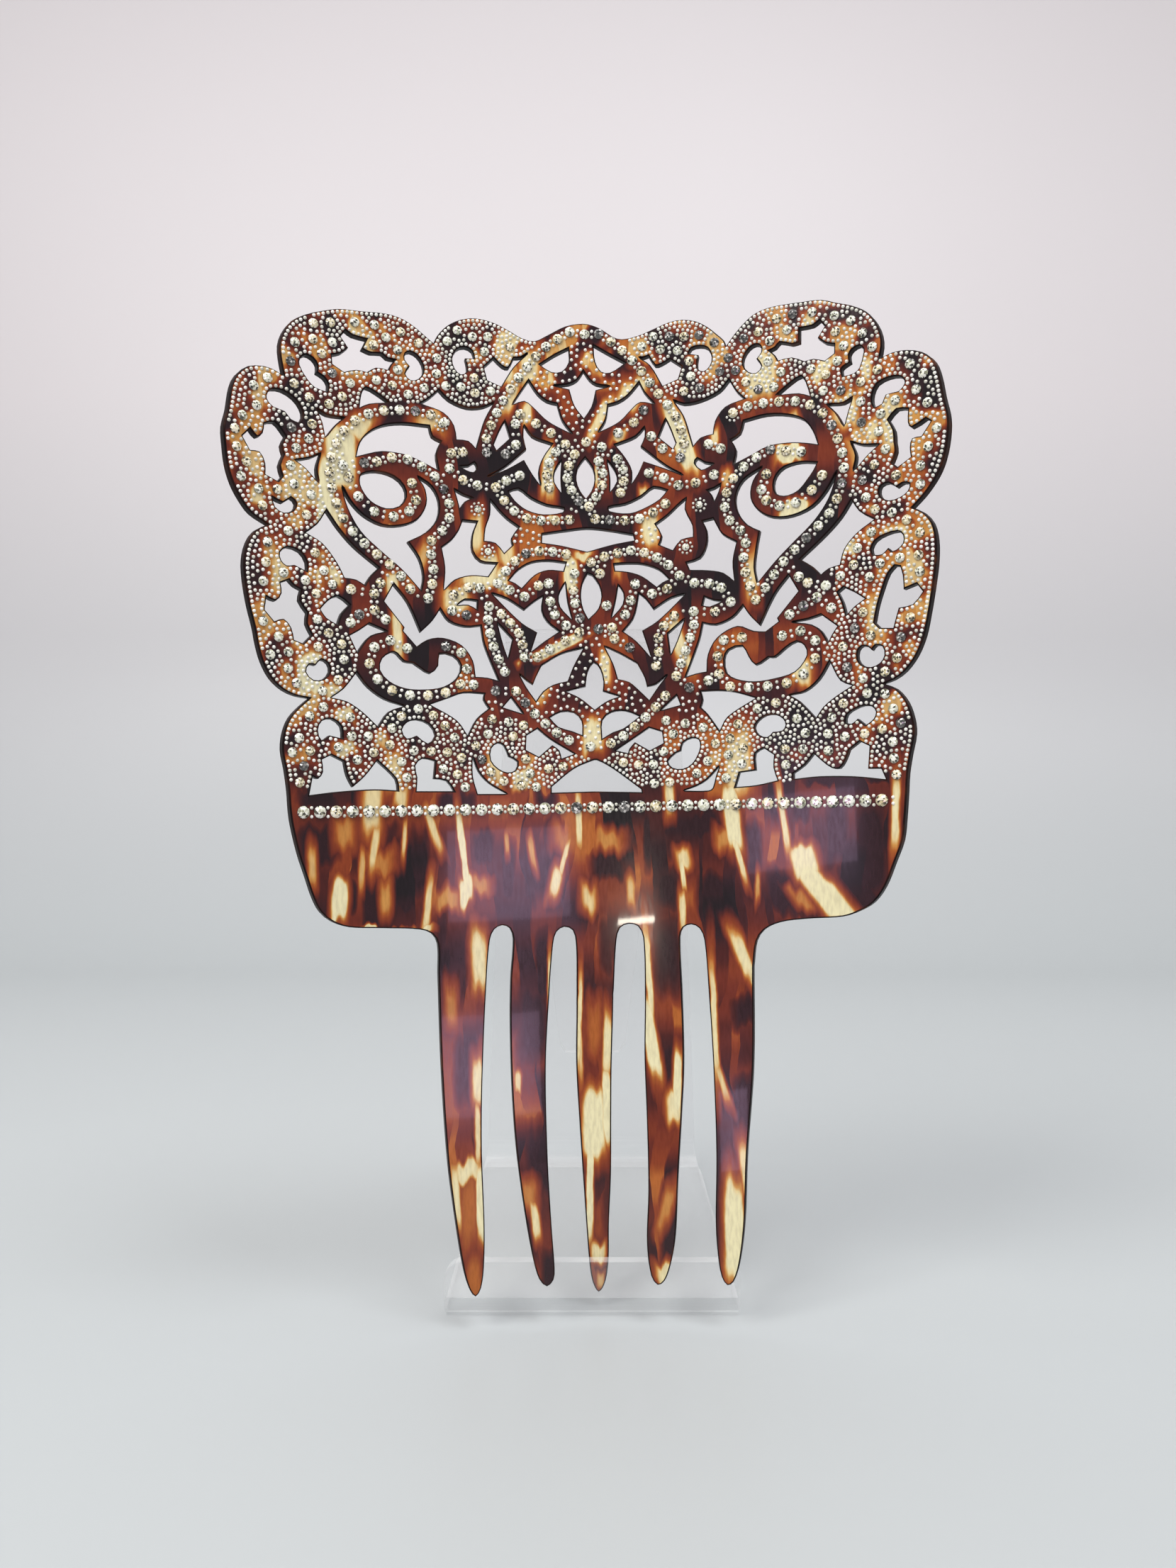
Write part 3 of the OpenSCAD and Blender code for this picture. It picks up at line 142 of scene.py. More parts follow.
def on_middle_tooth(points):
    return (np.abs(points[..., 0]) < TOOTH_HALF) & (points[..., 1] < SEAM_V + 3)


def tooth_outline(flat, front):
    """The bent middle tooth's outline, down its left edge and up its right one."""
    spots = flat[front]
    low = on_middle_tooth(spots).all(1)
    a = spots[low].reshape(-1, 2)
    b = np.roll(spots[low], -1, 1).reshape(-1, 2)
    tip = a[a[:, 1].argmin()]
    left, right = [], []
    for v in [tip[1] + rise for rise in TIP_RISES] + list(np.arange(0.5, SEAM_V - 0.9, 1.5)):
        crossing = (a[:, 1] - v) * (b[:, 1] - v) < 0
        share = (v - a[crossing, 1]) / (b[crossing, 1] - a[crossing, 1])
        u = a[crossing, 0] + share * (b[crossing, 0] - a[crossing, 0])
        left.append((u.min(), v))
        right.append((u.max(), v))
    return left[::-1] + [tuple(tip)] + right


def chart_loops(obj):
    """The closed outlines of the face of the comb, each with the sheet on its left."""
    local = to_chart(vertices_of(obj))
    tri = triangles_of(obj)
    a, b, c = (local[tri[:, k]] for k in range(3))
    normal = np.cross(b - a, c - a)
    normal /= np.maximum(lengths(normal), 1e-9)[:, None]
    front = tri[normal[:, 1] < -0.5]
    flat = local[:, [0, 2]]
    spots, ids = merged(flat)
    edges = set()
    for i, j, k in ids[front]:
        edges.update(e for e in ((i, j), (j, k), (k, i)) if e[0] != e[1])
    follow = {}
    for i, j in edges:
        if (j, i) in edges:
            continue
        both = spots[[i, j]]
        seam = np.all(np.abs(both[:, 1] - SEAM_V) < 0.06) and np.all(np.abs(both[:, 0]) < 5)
        if not seam:
            follow[i] = j
    starts = set(follow) - set(follow.values())
    for end in set(follow.values()) - set(follow):
        nearest = min(starts, key=lambda s: norm(spots[s] - spots[end]))
        follow[end] = nearest
        starts.discard(nearest)
    loops = []
    while follow:
        here, after = follow.popitem()
        loop = [here]
        while after in follow:
            loop.append(after)
            after = follow.pop(after)
        loops.append(spots[loop])
    whole = []
    for loop in loops:
        low = on_middle_tooth(loop)
        if len(loop) < 6 or low.all():
            continue
        step = lengths(np.roll(loop, -1, 0) - loop)
        gap = int(np.argmax(np.where(low & np.roll(low, -1), step, 0)))
        if low.any() and step[gap] > 5:
            loop = np.concatenate([np.roll(loop, -1 - gap, 0), tooth_outline(flat, front)])
        whole.append(spaced(loop, 0.03))
    return whole


def spaced(loop, least):
    """The loop without points that lie closer together than least."""
    kept = [loop[0]]
    for p in loop[1:]:
        if norm(p - kept[-1]) > least:
            kept.append(p)
    if norm(kept[0] - kept[-1]) < least:
        kept.pop()
    return np.array(kept)


def smooth_loop(loop, step):
    """A smooth curve through the loop's points, which breaks only at its corners."""
    before, after = np.roll(loop, 1, 0), np.roll(loop, -1, 0)
    d1, d2 = loop - before, after - loop
    l1, l2 = lengths(d1), lengths(d2)
    cosine = (d1 * d2).sum(1) / (l1 * l2)
    sharp = cosine < math.cos(math.radians(CORNER))
    tangent = (after - before) / (l1 + l2)[:, None]
    leave = np.where(sharp[:, None], d2 / l2[:, None], tangent)
    arrive = np.where(sharp[:, None], d1 / l1[:, None], tangent)
    out = []
    for i in range(len(loop)):
        j = (i + 1) % len(loop)
        steps = max(1, round(l2[i] / step))
        for t in [k / steps for k in range(steps)]:
            out.append(
                (2 * t**3 - 3 * t**2 + 1) * loop[i]
                + (t**3 - 2 * t**2 + t) * l2[i] * leave[i]
                + (3 * t**2 - 2 * t**3) * loop[j]
                + (t**3 - t**2) * l2[i] * arrive[j]
            )
    return spaced(np.array(out), 0.08)


def inward(loop):
    """At each point of a loop, the way into the sheet; its length makes up for the corner."""
    d1, d2 = loop - np.roll(loop, 1, 0), np.roll(loop, -1, 0) - loop
    n1 = np.stack([-d1[:, 1], d1[:, 0]], 1) / lengths(d1)[:, None]
    n2 = np.stack([-d2[:, 1], d2[:, 0]], 1) / lengths(d2)[:, None]
    return (n1 + n2) / np.maximum(1 + (n1 * n2).sum(1), 0.5)[:, None]


def inside(points, loops):
    """Which points lie on the sheet, by counting the outlines left of them on a line across."""
    a = np.concatenate(loops)
    b = np.concatenate([np.roll(loop, -1, 0) for loop in loops])
    a_row, b_row = np.floor(a[:, 1]).astype(int), np.floor(b[:, 1]).astype(int)
    hit = np.zeros(len(points), bool)
    order = np.argsort(points[:, 1], kind="stable")
    rows = np.floor(points[order, 1]).astype(int)
    for row in np.unique(rows):
        near = (np.minimum(a_row, b_row) <= row) & (np.maximum(a_row, b_row) >= row)
        p, q = a[near], b[near]
        some = order[np.searchsorted(rows, row) : np.searchsorted(rows, row, "right")]
        x, v = points[some, 0][:, None], points[some, 1][:, None]
        crossed = (p[:, 1] > v) != (q[:, 1] > v)
        run = np.where(q[:, 1] == p[:, 1], 1, q[:, 1] - p[:, 1])
        at = p[:, 0] + (v - p[:, 1]) * (q[:, 0] - p[:, 0]) / run
        hit[some] = ((crossed & (at > x)).sum(1) % 2).astype(bool)
    return hit


def tree_of(points):
    tree = KDTree(len(points))
    for i, p in enumerate(points):
        tree.insert((p[0], p[1], 0), i)
    tree.balance()
    return tree


def placed(name, data):
    """A new object of the scene."""
    obj = bpy.data.objects.new(name, data)
    bpy.context.scene.collection.objects.link(obj)
    return obj


def new_mesh(name, verts, faces, materials, smooth=True):
    mesh = bpy.data.meshes.new(name)
    mesh.from_pydata([tuple(p) for p in verts], [], faces)
    mesh.update()
    for material in materials:
        mesh.materials.append(material)
    mesh.polygons.foreach_set("use_smooth", np.full(len(faces), smooth))
    return placed(name, mesh)


# Materials


def arithmetic(operation):
    """A method that adds one Math node."""
    return lambda value, *others: value.math(operation, *others)


class Value:
    """The output of a node, with the arithmetic that the materials need."""

    def __init__(self, finish, socket):
        self.finish = finish
        self.socket = socket

    def math(self, operation, *others, clamp=False):
        return self.finish.node("Math", dict(operation=operation, use_clamp=clamp), self, *others)

    def line(self, slope, shift):
        """slope times this plus shift, kept from 0 to 1"""
        return self.math("MULTIPLY_ADD", slope, shift, clamp=True)

    def __rsub__(self, other):
        return self.math("MULTIPLY_ADD", -1.0, other)

    __add__ = __radd__ = arithmetic("ADD")
    __sub__ = arithmetic("SUBTRACT")
    __mul__ = __rmul__ = arithmetic("MULTIPLY")
    __abs__ = arithmetic("ABSOLUTE")
    top = arithmetic("MAXIMUM")
    low = arithmetic("MINIMUM")
    floor = arithmetic("FLOOR")


class Finish:
    """A material whose constants go straight on the shader and whose patterns come from nodes."""

    def __init__(self, name, **constants):
        self.material = bpy.data.materials.new(name)
        self.material.use_nodes = True
        self.tree = self.material.node_tree
        self.shader = self.tree.nodes["Principled BSDF"]
        for key, value in constants.items():
            self.shader.inputs[key.replace("_", " ")].default_value = value

    def node(self, kind, settings, *inputs, out=0, **named):
        """A node from its kind, its settings, which come first, and its inputs by place or by name."""
        made = self.tree.nodes.new("ShaderNode" + kind)
        for key, value in settings.items():
            if key == "stops":
                set_stops(made.color_ramp.elements, value)
            else:
                setattr(made, key, value)
        for i, value in enumerate(inputs):
            self.plug(made.inputs[i], value)
        for key, value in named.items():
            self.plug(made.inputs[key.replace("_", " ")], value)
        return Value(self, made.outputs[out])

    def plug(self, socket, value):
        if isinstance(value, Value):
            self.tree.links.new(value.socket, socket)
        elif value is not None:
            socket.default_value = value

    def feed(self, name, value):
        self.plug(self.shader.inputs[name], value)

    def ramp(self, value, stops):
        return self.node("ValToRGB", dict(stops=stops), value)

    def greys(self, value, stops):
        return self.ramp(value, [(place, (level,) * 3) for place, level in stops])

    def colours(self, value, stops):
        return self.ramp(value, [(place, rgb(code)) for place, code in stops])

    def noise(self, where, scale, detail, dimensions="3D", **named):
        kind = dict(noise_dimensions=dimensions)
        return self.node("TexNoise", kind, Vector=where, Scale=scale, Detail=detail, **named)

    def place(self):
        """The place on the body, in metres."""
        return self.node("TexCoord", {}, out=3)

    def vector(self, operation, *inputs):
        """Vector arithmetic; a dot product and a length come out as a number."""
        number = operation in ("DOT_PRODUCT", "LENGTH")
        return self.node("VectorMath", dict(operation=operation), *inputs, out=int(number))

    def multiply(self, share, a, b):
        """Colour a, multiplied by colour b as far as the share says."""
        kind = dict(data_type="RGBA", blend_type="MULTIPLY")
        unused = [None] * 5
        return self.node("Mix", kind, share, *unused, a, b, out=2)


def set_stops(elements, stops):
    while len(elements) < len(stops):
        elements.new(0.5)
    for element, (place, colour) in zip(elements, stops):
        element.position = place
        element.color = (*colour, 1)


def rgb(code):
    """A colour of the screen as the shader's own numbers."""
    parts = [int(code[i : i + 2], 16) / 255 for i in (0, 2, 4)]
    return tuple(p / 12.92 if p < 0.04045 else ((p + 0.055) / 1.055) ** 2.4 for p in parts)


# Light patches of the sheet that the photograph shows: the middle, half of the width and of the
# height, the tone from 0, black, to 1, and how far it slants to the right for each millimetre up.
# (across, up, half_width, half_height, tone, slant), and no slant where a patch stands upright
BAND_LIGHTS = [
    (-48.6, 109.5, 2.1, 6.5, 0.9, 0.05), (-48.3, 100.5, 0.9, 5.5, 0.88, 0.12),
    (-42.6, 112, 1.5, 3.5, 0.88, 0.1), (-54.2, 104, 2, 3.6, 0.74), (-60.6, 96.5, 0.9, 4.5, 0.8),
    (-50.9, 95.5, 0.6, 4.5, 0.8, 0.03), (-47.2, 97.5, 2.9, 2.6, 0.72), (-55.4, 88.8, 1.5, 4.4, 1, 0.05),
    (-46.1, 90.5, 1.2, 4, 0.76), (-42, 103, 0.5, 5, 0.85, 0.08), (-35.9, 104.5, 1, 5.5, 0.88, -0.3),
    (-37.3, 87, 0.8, 6.5, 0.9, 0.12), (-29.3, 98, 0.7, 9.5, 1, -0.1), (-28.9, 90.3, 1.4, 3.2, 1),
    (-25.8, 91.5, 2.3, 2, 0.74), (-33, 88.6, 2.8, 2.4, 0.76), (-19.6, 101, 0.5, 3, 0.78),
    (-14, 98.5, 0.7, 3.4, 0.78, -0.15), (-8.8, 91.5, 1.3, 3.6, 0.98, 0.25),
    (-6.6, 97.5, 0.6, 4.5, 0.92, 0.25), (-1.3, 88, 1.8, 3.4, 0.85), (-3.2, 106, 0.8, 7.5, 0.95),
    (3.2, 101, 3.4, 2.4, 0.74), (-6.5, 102, 2.6, 3, 0.7), (8.3, 88.5, 1, 3.5, 0.82),
    (17.6, 111, 1.1, 4, 0.95), (20.4, 96.3, 1.6, 2.6, 0.9, -0.15), (20.2, 93, 0.6, 4.5, 0.98, -0.1),
    (31.4, 106, 1.6, 7.5, 1, -0.1), (32.6, 97, 0.7, 5.5, 0.97, -0.25), (29.4, 101, 1.8, 2.4, 0.74),
    (42.3, 106, 0.7, 9, 0.97, -0.12), (46.6, 95, 2.5, 3.8, 1, -0.2), (50.9, 88, 3, 5.2, 1, -0.7),
    (45.8, 87, 1.8, 2.2, 0.72, -0.6), (64.6, 106, 0.8, 8.5, 0.98, 0.05), (36.6, 89.5, 0.5, 3.5, 0.78, 0.05),
    (-49.5, 82.4, 2.2, 0.7, 0.97), (-44.5, 82.3, 2, 0.7, 0.97), (-38.5, 82.1, 2.2, 0.8, 0.97),
]
TOOTH_LIGHTS = [
    (-26.3, 74.5, 1.8, 7, 0.97), (-32.6, 64, 1.3, 5, 0.72), (-27.1, 48, 1.2, 5.5, 0.97),
    (-27.3, 36, 0.6, 8, 0.93), (-32.2, 23, 0.9, 7, 0.97, -0.06), (-29.6, 27.5, 3, 2.6, 0.97),
    (-26.9, 20, 0.9, 8.5, 1), (-29.4, 19, 1.8, 8, 0.68), (-28.6, 3, 1.6, 5, 0.68, -0.05),
    (-10.6, 68, 0.45, 9, 0.92, 0.03), (-14.9, 16.5, 0.9, 4.6, 0.95, -0.12), (-16.2, 21.5, 1.9, 3.5, 0.72),
    (-18.2, 47, 0.8, 2.6, 0.9), (-4, 60, 0.5, 12, 0.95, 0.05), (-0.6, 58, 1.6, 6, 0.66),
    (2.2, 54, 1, 8, 0.97, 0.05), (-3.9, 55, 0.5, 9, 0.84), (-1.2, 36, 2.5, 7.5, 1), (1.9, 40, 0.9, 8, 1),
    (-2.4, 22, 0.8, 14, 1, 0.03), (-0.8, 5, 1.8, 2.6, 0.95), (-0.4, -2, 0.9, 2, 0.8),
    (12, 70, 0.7, 13, 0.98, -0.04), (12.1, 56, 1.4, 9, 1, -0.14), (17.9, 46, 0.9, 7, 1, 0.05),
    (17, 40.5, 1.8, 3.6, 0.97), (14.6, 3.4, 2.6, 2.2, 0.95), (14.8, 18, 1.4, 5, 0.74, 0.3),
    (19.9, 84, 0.8, 5, 0.92), (33.2, 74, 1.5, 6, 0.97, -0.36), (35.6, 66.5, 0.7, 4.5, 0.95, -0.2),
    (26.4, 60, 0.7, 14, 0.95, -0.02), (27.8, 46, 0.8, 5, 0.85, -0.3), (32.4, 27, 1.2, 6, 0.9, -0.1),
    (29.6, 13, 2, 11, 1, 0.02),
]
CREST_LIGHTS = [
    (-54, 186.5, 3, 6.5, 1), (-57, 178, 1.6, 8, 1, 0.05), (-25.2, 172, 1.6, 5, 0.9),
    (-60.5, 138.5, 2.4, 4.5, 1), (-63.1, 146, 0.9, 3, 0.86), (-56, 135, 2, 1.8, 0.9),
    (-55.6, 160, 1.4, 2, 0.92), (-55.6, 174, 2, 3.4, 0.95), (-69.9, 176, 1.4, 2, 0.9),
    (-67.6, 164.5, 1.4, 3, 0.8), (-43.8, 159, 1.4, 2.8, 0.97), (-42.8, 147.5, 1.1, 6, 0.97, -0.05),
    (-43.8, 171.5, 1.6, 1, 0.93), (-54, 129.7, 2.1, 1.5, 0.92), (-54, 122.4, 2.4, 1.5, 0.92),
    (-46.5, 123.5, 1.4, 2, 0.82), (46.3, 174, 2.8, 1.8, 1, 0.3), (47, 193.6, 1.3, 2.5, 0.85, -0.3),
    (29.7, 193, 1, 2, 0.88), (53, 204.5, 2, 3, 0.95, 0.5), (50.4, 216, 1.4, 2.6, 0.88),
    (57.3, 194.5, 2.8, 4, 0.92), (62.3, 189.4, 1.4, 3, 0.88), (61.6, 203.2, 1.1, 3, 0.9),
    (32, 182, 1.1, 2, 0.8), (66, 165, 3, 3, 0.9), (57, 164, 2, 2, 0.92), (-13.2, 200.2, 1.2, 3, 0.95),
    (-9, 187, 1.1, 6, 0.95, 0.1), (7.9, 194.2, 1.6, 1.6, 0.9, 0.3), (2.6, 186.4, 0.4, 3, 0.9),
    (13.2, 181.3, 1, 1.5, 0.88), (-4, 162.8, 1.6, 3.5, 1), (-0.9, 166.9, 2.2, 1.2, 0.93),
    (-18.5, 167.5, 2, 3, 0.88), (-19.5, 161.2, 1.5, 3, 0.97), (6.9, 163.7, 1, 2.5, 0.78),
    (13.5, 166.2, 0.8, 1.2, 0.95), (-7.8, 175, 1.6, 0.8, 0.93), (-15.8, 115.5, 2.6, 2.4, 0.97),
    (-17.6, 209, 1.6, 2.4, 0.93), (-48, 213, 1.6, 3, 0.84), (-50.5, 193.5, 2.5, 3.5, 0.95, 0.5),
    (-35.2, 196.5, 3.4, 2.6, 0.84), (-17, 203, 1.4, 4, 0.88, 0.4), (-8.2, 184, 1.2, 5, 0.92),
    (11, 204, 3.4, 4, 0.97, 0.5), (3.8, 199, 1.4, 4.5, 0.95, 0.5), (22, 193, 2, 8, 1, -0.3),
    (14.5, 172, 2.2, 4, 0.97), (45.5, 186, 2.6, 2.2, 1), (20.5, 146, 1.8, 7, 0.95, -0.3),
    (47, 138, 2.2, 3.5, 0.95), (33, 118, 3.2, 8, 0.92), (40, 206, 4, 6, 0.95), (-63, 180, 3, 6, 0.85, 0.2),
    (-40, 210, 3, 5, 0.75), (-66, 160, 2, 6, 0.85), (66, 190, 2.4, 7, 0.9), (62, 148, 2.2, 6, 0.85),
    (-22, 118, 2, 5, 0.85), (-44, 118, 2, 5, 0.85), (0.4, 125, 2.6, 4, 0.97), (-7.2, 145.5, 2.5, 2.5, 1, 2),
    (-30, 157, 3, 3, 0.97), (3.6, 140.5, 1.4, 4.5, 0.95), (-24.5, 161.3, 5, 1.9, 0.97),
    (-22.6, 164, 2.4, 3, 0.97), (-12.5, 211, 2.6, 4.5, 0.92), (-11, 136, 2, 4, 0.8, 0.4),
    (-38, 164, 1.6, 5, 0.8, 0.4), (37, 160, 1.6, 6, 0.85),
]
LIGHT_PATCHES = BAND_LIGHTS + TOOTH_LIGHTS + CREST_LIGHTS

# The dark patches of the band and the teeth, in the same way
DARK_PATCHES = [
    (-59.6, 101.4, 3.8, 4.2, 0.06), (-49.1, 87.3, 1.7, 5.5, 0.05), (-53, 90.5, 1, 3.5, 0.12),
    (-42.3, 91, 1.6, 6, 0.03, -0.1), (-38.7, 97, 2, 7, 0.1), (-51.8, 101.5, 0.9, 4.5, 0.15),
    (-46, 102, 2.5, 3.5, 0.24, 0.1), (-24.9, 100, 2.4, 3.6, 0.06), (-19.5, 94, 1.6, 7, 0.08),
    (-14.6, 94, 1.5, 8, 0.08), (-9.4, 101, 2, 5, 0.1), (-59, 111, 4, 1.6, 0.08), (-32.5, 110.5, 2, 2, 0.1),
    (-28.5, 111, 2, 2, 0.2), (-10.5, 110, 2.2, 1.6, 0.1), (3.5, 95, 3.8, 3.2, 0.1),
    (12.4, 101, 0.9, 6, 0.12), (16.6, 89, 2.6, 5, 0.15), (25, 104, 3.6, 3.2, 0.1), (27, 88.5, 3.4, 5, 0.12),
    (35.6, 98.5, 2, 5.5, 0.08), (42, 88.5, 3.8, 5, 0.07), (46, 107, 2, 3, 0.15), (53.3, 101.5, 2.4, 7, 0.1),
    (59.8, 98, 3, 10, 0.07), (57.6, 89, 3, 5, 0.07, -0.4), (50.5, 113.5, 4, 1.4, 0.12),
    (62, 113, 3, 1.5, 0.1), (17, 101.5, 3.4, 5.5, 0.24), (-34.3, 79, 1.2, 7, 0.2),
    (-29.8, 50, 2.2, 7, 0.18), (-29.6, 8, 1.2, 7, 0.2, -0.1), (-12, 73, 1.8, 9, 0.1),
    (-14.5, 60, 3.5, 9, 0.14), (-13.4, 29, 3.4, 7, 0.12, -0.1), (-11, 3.5, 2.6, 6, 0.08),
    (2.4, 76, 1.5, 6, 0.26), (2.3, 20, 2, 12, 0.32), (16.6, 74, 3.2, 8, 0.18), (15.4, 50, 2.4, 5, 0.16),
    (15.8, 11.5, 2.2, 9, 0.1), (33.5, 62, 3.5, 3.5, 0.18), (32.4, 42, 2.2, 6, 0.08), (35.2, 18, 1, 9, 0.28),
]

# How the tone of a light patch fades with the reach from its middle, which is 1 at its rim
LIGHT_FADE = [(0.66, 1.0), (0.95, 0.8), (1.35, 0.62), (2.2, 0.44), (3.2, 0.2), (4.0, 0.0)]
# The shade of a dark patch lifts by DARK_RISE for each unit of reach, and is never under DARK_FLOOR
DARK_RISE, DARK_FLOOR = 0.32, 0.13

# The pierced crest begins at this height
CREST_FROM = 117
# How the ring of scallops fades in beside, above and below the straps (slope, shift)
RING_BESIDE, RING_ABOVE, RING_BELOW = (0.3, -16.6), (0.25, -50.6), (-0.25, 30.5)
# Noise on the chart: how fast it runs across and up, its seed and its detail
WARP, RAGGED, STREAK = (0.05, 0.035, 0.0, 1.0), (0.5, 0.16, 3.0, 2.0), (0.4, 0.03, 6.0, 1.0)
DRIFT, MOTTLE = (0.15, 0.11, 17.0, 2.0), (1.6, 0.35, 9.0, 3.0)
# How far, in millimetres, the noise moves the columns, and the sides and the ends of the patches
COLUMN_WARP, COLUMN_FRAY, SIDE_FRAY, END_FRAY, END_STREAK = 9.0, 0.8, 0.6, 1.6, 5.0
# Two layers of columns (width, height, seed, share)
COLUMNS = [(4.3, 17.0, 11.3, 1.0), (7.7, 26.0, 4.9, 0.96)]
# The lightest tone of the columns, and of the scallops, which take this share of their own noise
COLUMN_TOP, SCALLOP_TOP, SCALLOP_SHARE = 0.68, 0.92, 0.75
# Colours by tone
SHELL_TONES = [
    (0.0, "160b10"), (0.14, "2b1016"), (0.28, "4a1813"), (0.42, "6d2816"), (0.56, "893b18"),
    (0.68, "ac6024"), (0.77, "c99349"), (0.85, "dfca90"), (1.0, "e6e0b2"),
]
# The edge's colours by tone, all near black: painted shade on the walls and rims
EDGE_SHADE_TONES = [(0.35, "0c0606"), (0.6, "210f0a"), (0.75, "4c2712")]


def shell_finish(name):
    """Imitation tortoiseshell: columns with crisp sides whose tones run softly into each other."""
    made = Finish(name, IOR=1.5, Specular_IOR_Level=0.3, Coat_Weight=0.25, Coat_Roughness=0.03)
    place = made.place()
    foot = np.array(HUNG.translation) * MM

    def along(axis):
        """Millimetres from the chart's foot along one of its axes."""
        way = [axis[k] / MM for k in range(3)]
        return made.vector("DOT_PRODUCT", place, way) - float(np.dot(foot, way))

    u = along(TO_ROW[:3, 0])
    v = along(TO_ROW[:3, 2])

    def clouds(across, up, seed, detail):
        where = made.node("CombineXYZ", {}, u * across, v * up, seed)
        return made.noise(where, 1.0, detail, "2D")

    warp, ragged, streak = clouds(*WARP), clouds(*RAGGED), clouds(*STREAK)
    bent = u + (warp - 0.5) * COLUMN_WARP + (ragged - 0.5) * COLUMN_FRAY
    tone = None
    for width, height, seed, share in COLUMNS:
        column = (bent * (1 / width) + seed).floor()
        chance = made.node("TexWhiteNoise", dict(noise_dimensions="1D"), W=column * 1.37 + seed)
        spot = made.node("CombineXYZ", {}, column * 7.31, v * (1 / height) + chance * 40.0, seed)
        layer = made.noise(spot, 1.0, 1.5, Roughness=0.45) * share
        tone = layer if tone is None else tone * 0.5 + layer * 0.5
    crest = (v - CREST_FROM).line(0.5, 0.0)
    tone = (tone.line(2.9, -1.08) - crest * 0.07).low(COLUMN_TOP)
    ring = abs(u).line(*RING_BESIDE).top(v.line(*RING_ABOVE)).top(v.line(*RING_BELOW))
    ring = ring * crest * SCALLOP_SHARE
    tone = tone * (1 - ring) + clouds(*DRIFT).line(4.4, -1.72).low(SCALLOP_TOP) * ring
    beside = u + (ragged - 0.5) * SIDE_FRAY
    above = v + (ragged - 0.5) * END_FRAY + (streak - 0.5) * END_STREAK

    def reach(table, free):
        """How far off the nearest patch is, and free(tone) more where its tone isn't a full one."""
        nearest = None
        rows = [(*row, 0)[:6] for row in table]
        for slant in sorted({row[5] for row in rows}):
            leaning = made.node("CombineXYZ", {}, beside + v * -slant, above, 0.0)
            for across, up, half_width, half_height, level, _ in [row for row in rows if row[5] == slant]:
                scale = (1 / half_width, 1 / half_height, 0.0)
                middle = ((slant * up - across) / half_width, -up / half_height, math.sqrt(free(level)))
                spread = made.vector("MULTIPLY_ADD", leaning, scale, middle)
                away = made.vector("LENGTH", made.vector("MULTIPLY", spread, spread))
                nearest = away if nearest is None else nearest.low(away)
        return nearest

    deep = reach(DARK_PATCHES, lambda level: level / DARK_RISE)
    tone = tone.low(deep.line(DARK_RISE, -0.04).top(DARK_FLOOR))
    reaches, levels = zip(*LIGHT_FADE)

    def missing(level):
        return float(np.interp(-level, -np.array(levels), reaches)) * (level < 1)

    near = reach(LIGHT_PATCHES, missing)
    fade = [(far / reaches[-1], level) for far, level in LIGHT_FADE]
    tone = tone.top(made.greys(near * (1 / reaches[-1]), fade))
    mottle = clouds(*MOTTLE)
    shade = made.ramp(mottle, [(0.3, (0.72, 0.70, 0.70)), (0.62, (1.0, 1.0, 1.0))])
    made.feed("Base Color", made.multiply(0.55, made.colours(tone, SHELL_TONES), shade))
    made.feed("Roughness", made.greys(mottle, [(0.3, 0.13), (0.7, 0.2)]))
    made.feed("Normal", made.node("Bump", {}, Strength=0.1, Distance=0.002, Height=warp))
    return made.material


def edge_shade_finish(name):
    """The sawn and polished edge, painted dark as shade whatever the face beside it is."""
    made = Finish(name, IOR=1.4, Specular_IOR_Level=0.15)
    cloudy = made.noise(made.place(), 160.0, 2.0)
    made.feed("Base Color", made.colours(cloudy, EDGE_SHADE_TONES))
    made.feed("Roughness", made.greys(cloudy, [(0.3, 0.3), (0.7, 0.45)]))
    return made.material


def tinted_finish(name, **constants):
    """A finish that takes its colour from the tint of each facet."""
    made = Finish(name, **constants)
    made.feed("Base Color", made.node("Attribute", dict(attribute_name="facet")))
    return made.material


# The sheet

# Rings of points that round the edge, from the face to the back (inset, depth, degrees of the normal)
RINGS = [
    (0.3, 0.0, 0), (0.1, 0.08, 45), (0.0, 0.32, 90),
    (0.0, COMB_T - 0.32, 90), (0.1, COMB_T - 0.08, 135), (0.3, COMB_T, 180),
]
# Steps along the outlines, of the sheet and of the net that the pins are placed on
CURVE_STEP, FINE_STEP = 0.62, 0.3
# The points inside the sheet: their spacing, and how far they keep off its outlines
GRID, GRID_MARGIN = 2.1, 0.8


def grid_points(loops, step, margin):
    """A staggered grid of points on the sheet that keep their distance from its outlines."""
    outline = np.concatenate(loops)
    low, high = outline.min(0), outline.max(0)
    rows = np.arange(low[1], high[1], step * 0.866)
    found = []
    for k, v in enumerate(rows):
        across = np.arange(low[0] + (k % 2) * step / 2, high[0], step)
        found.append(np.stack([across, np.full(len(across), v)], 1))
    found = np.concatenate(found)
    found = found[inside(found, loops)]
    edge = tree_of(outline)
    far = np.array([edge.find((p[0], p[1], 0))[2] for p in found])
    return found[far > margin]


def pairs_round(curves):
    """The number of each point of all the curves, with the next one's round its curve."""
    start = 0
    for curve in curves:
        n = len(curve)
        yield from ((start + i, start + (i + 1) % n) for i in range(n))
        start += n


def fill(curves):
    """The sheet inside the curves: points, triangles, and each point's number on the curves, or -1."""
    seeds = np.concatenate(curves + [grid_points(curves, GRID, GRID_MARGIN)])
    found = delaunay_2d_cdt([Vector(p) for p in seeds], list(pairs_round(curves)), [], 0, 1e-5)
    spots = np.array([tuple(p) for p in found[0]])
    tri = np.array([f for f in found[2] if len(f) == 3])
    source = np.array([min(ids) if ids else -1 for ids in found[3]])
    return spots, tri[inside(spots[tri].mean(1), curves)], source


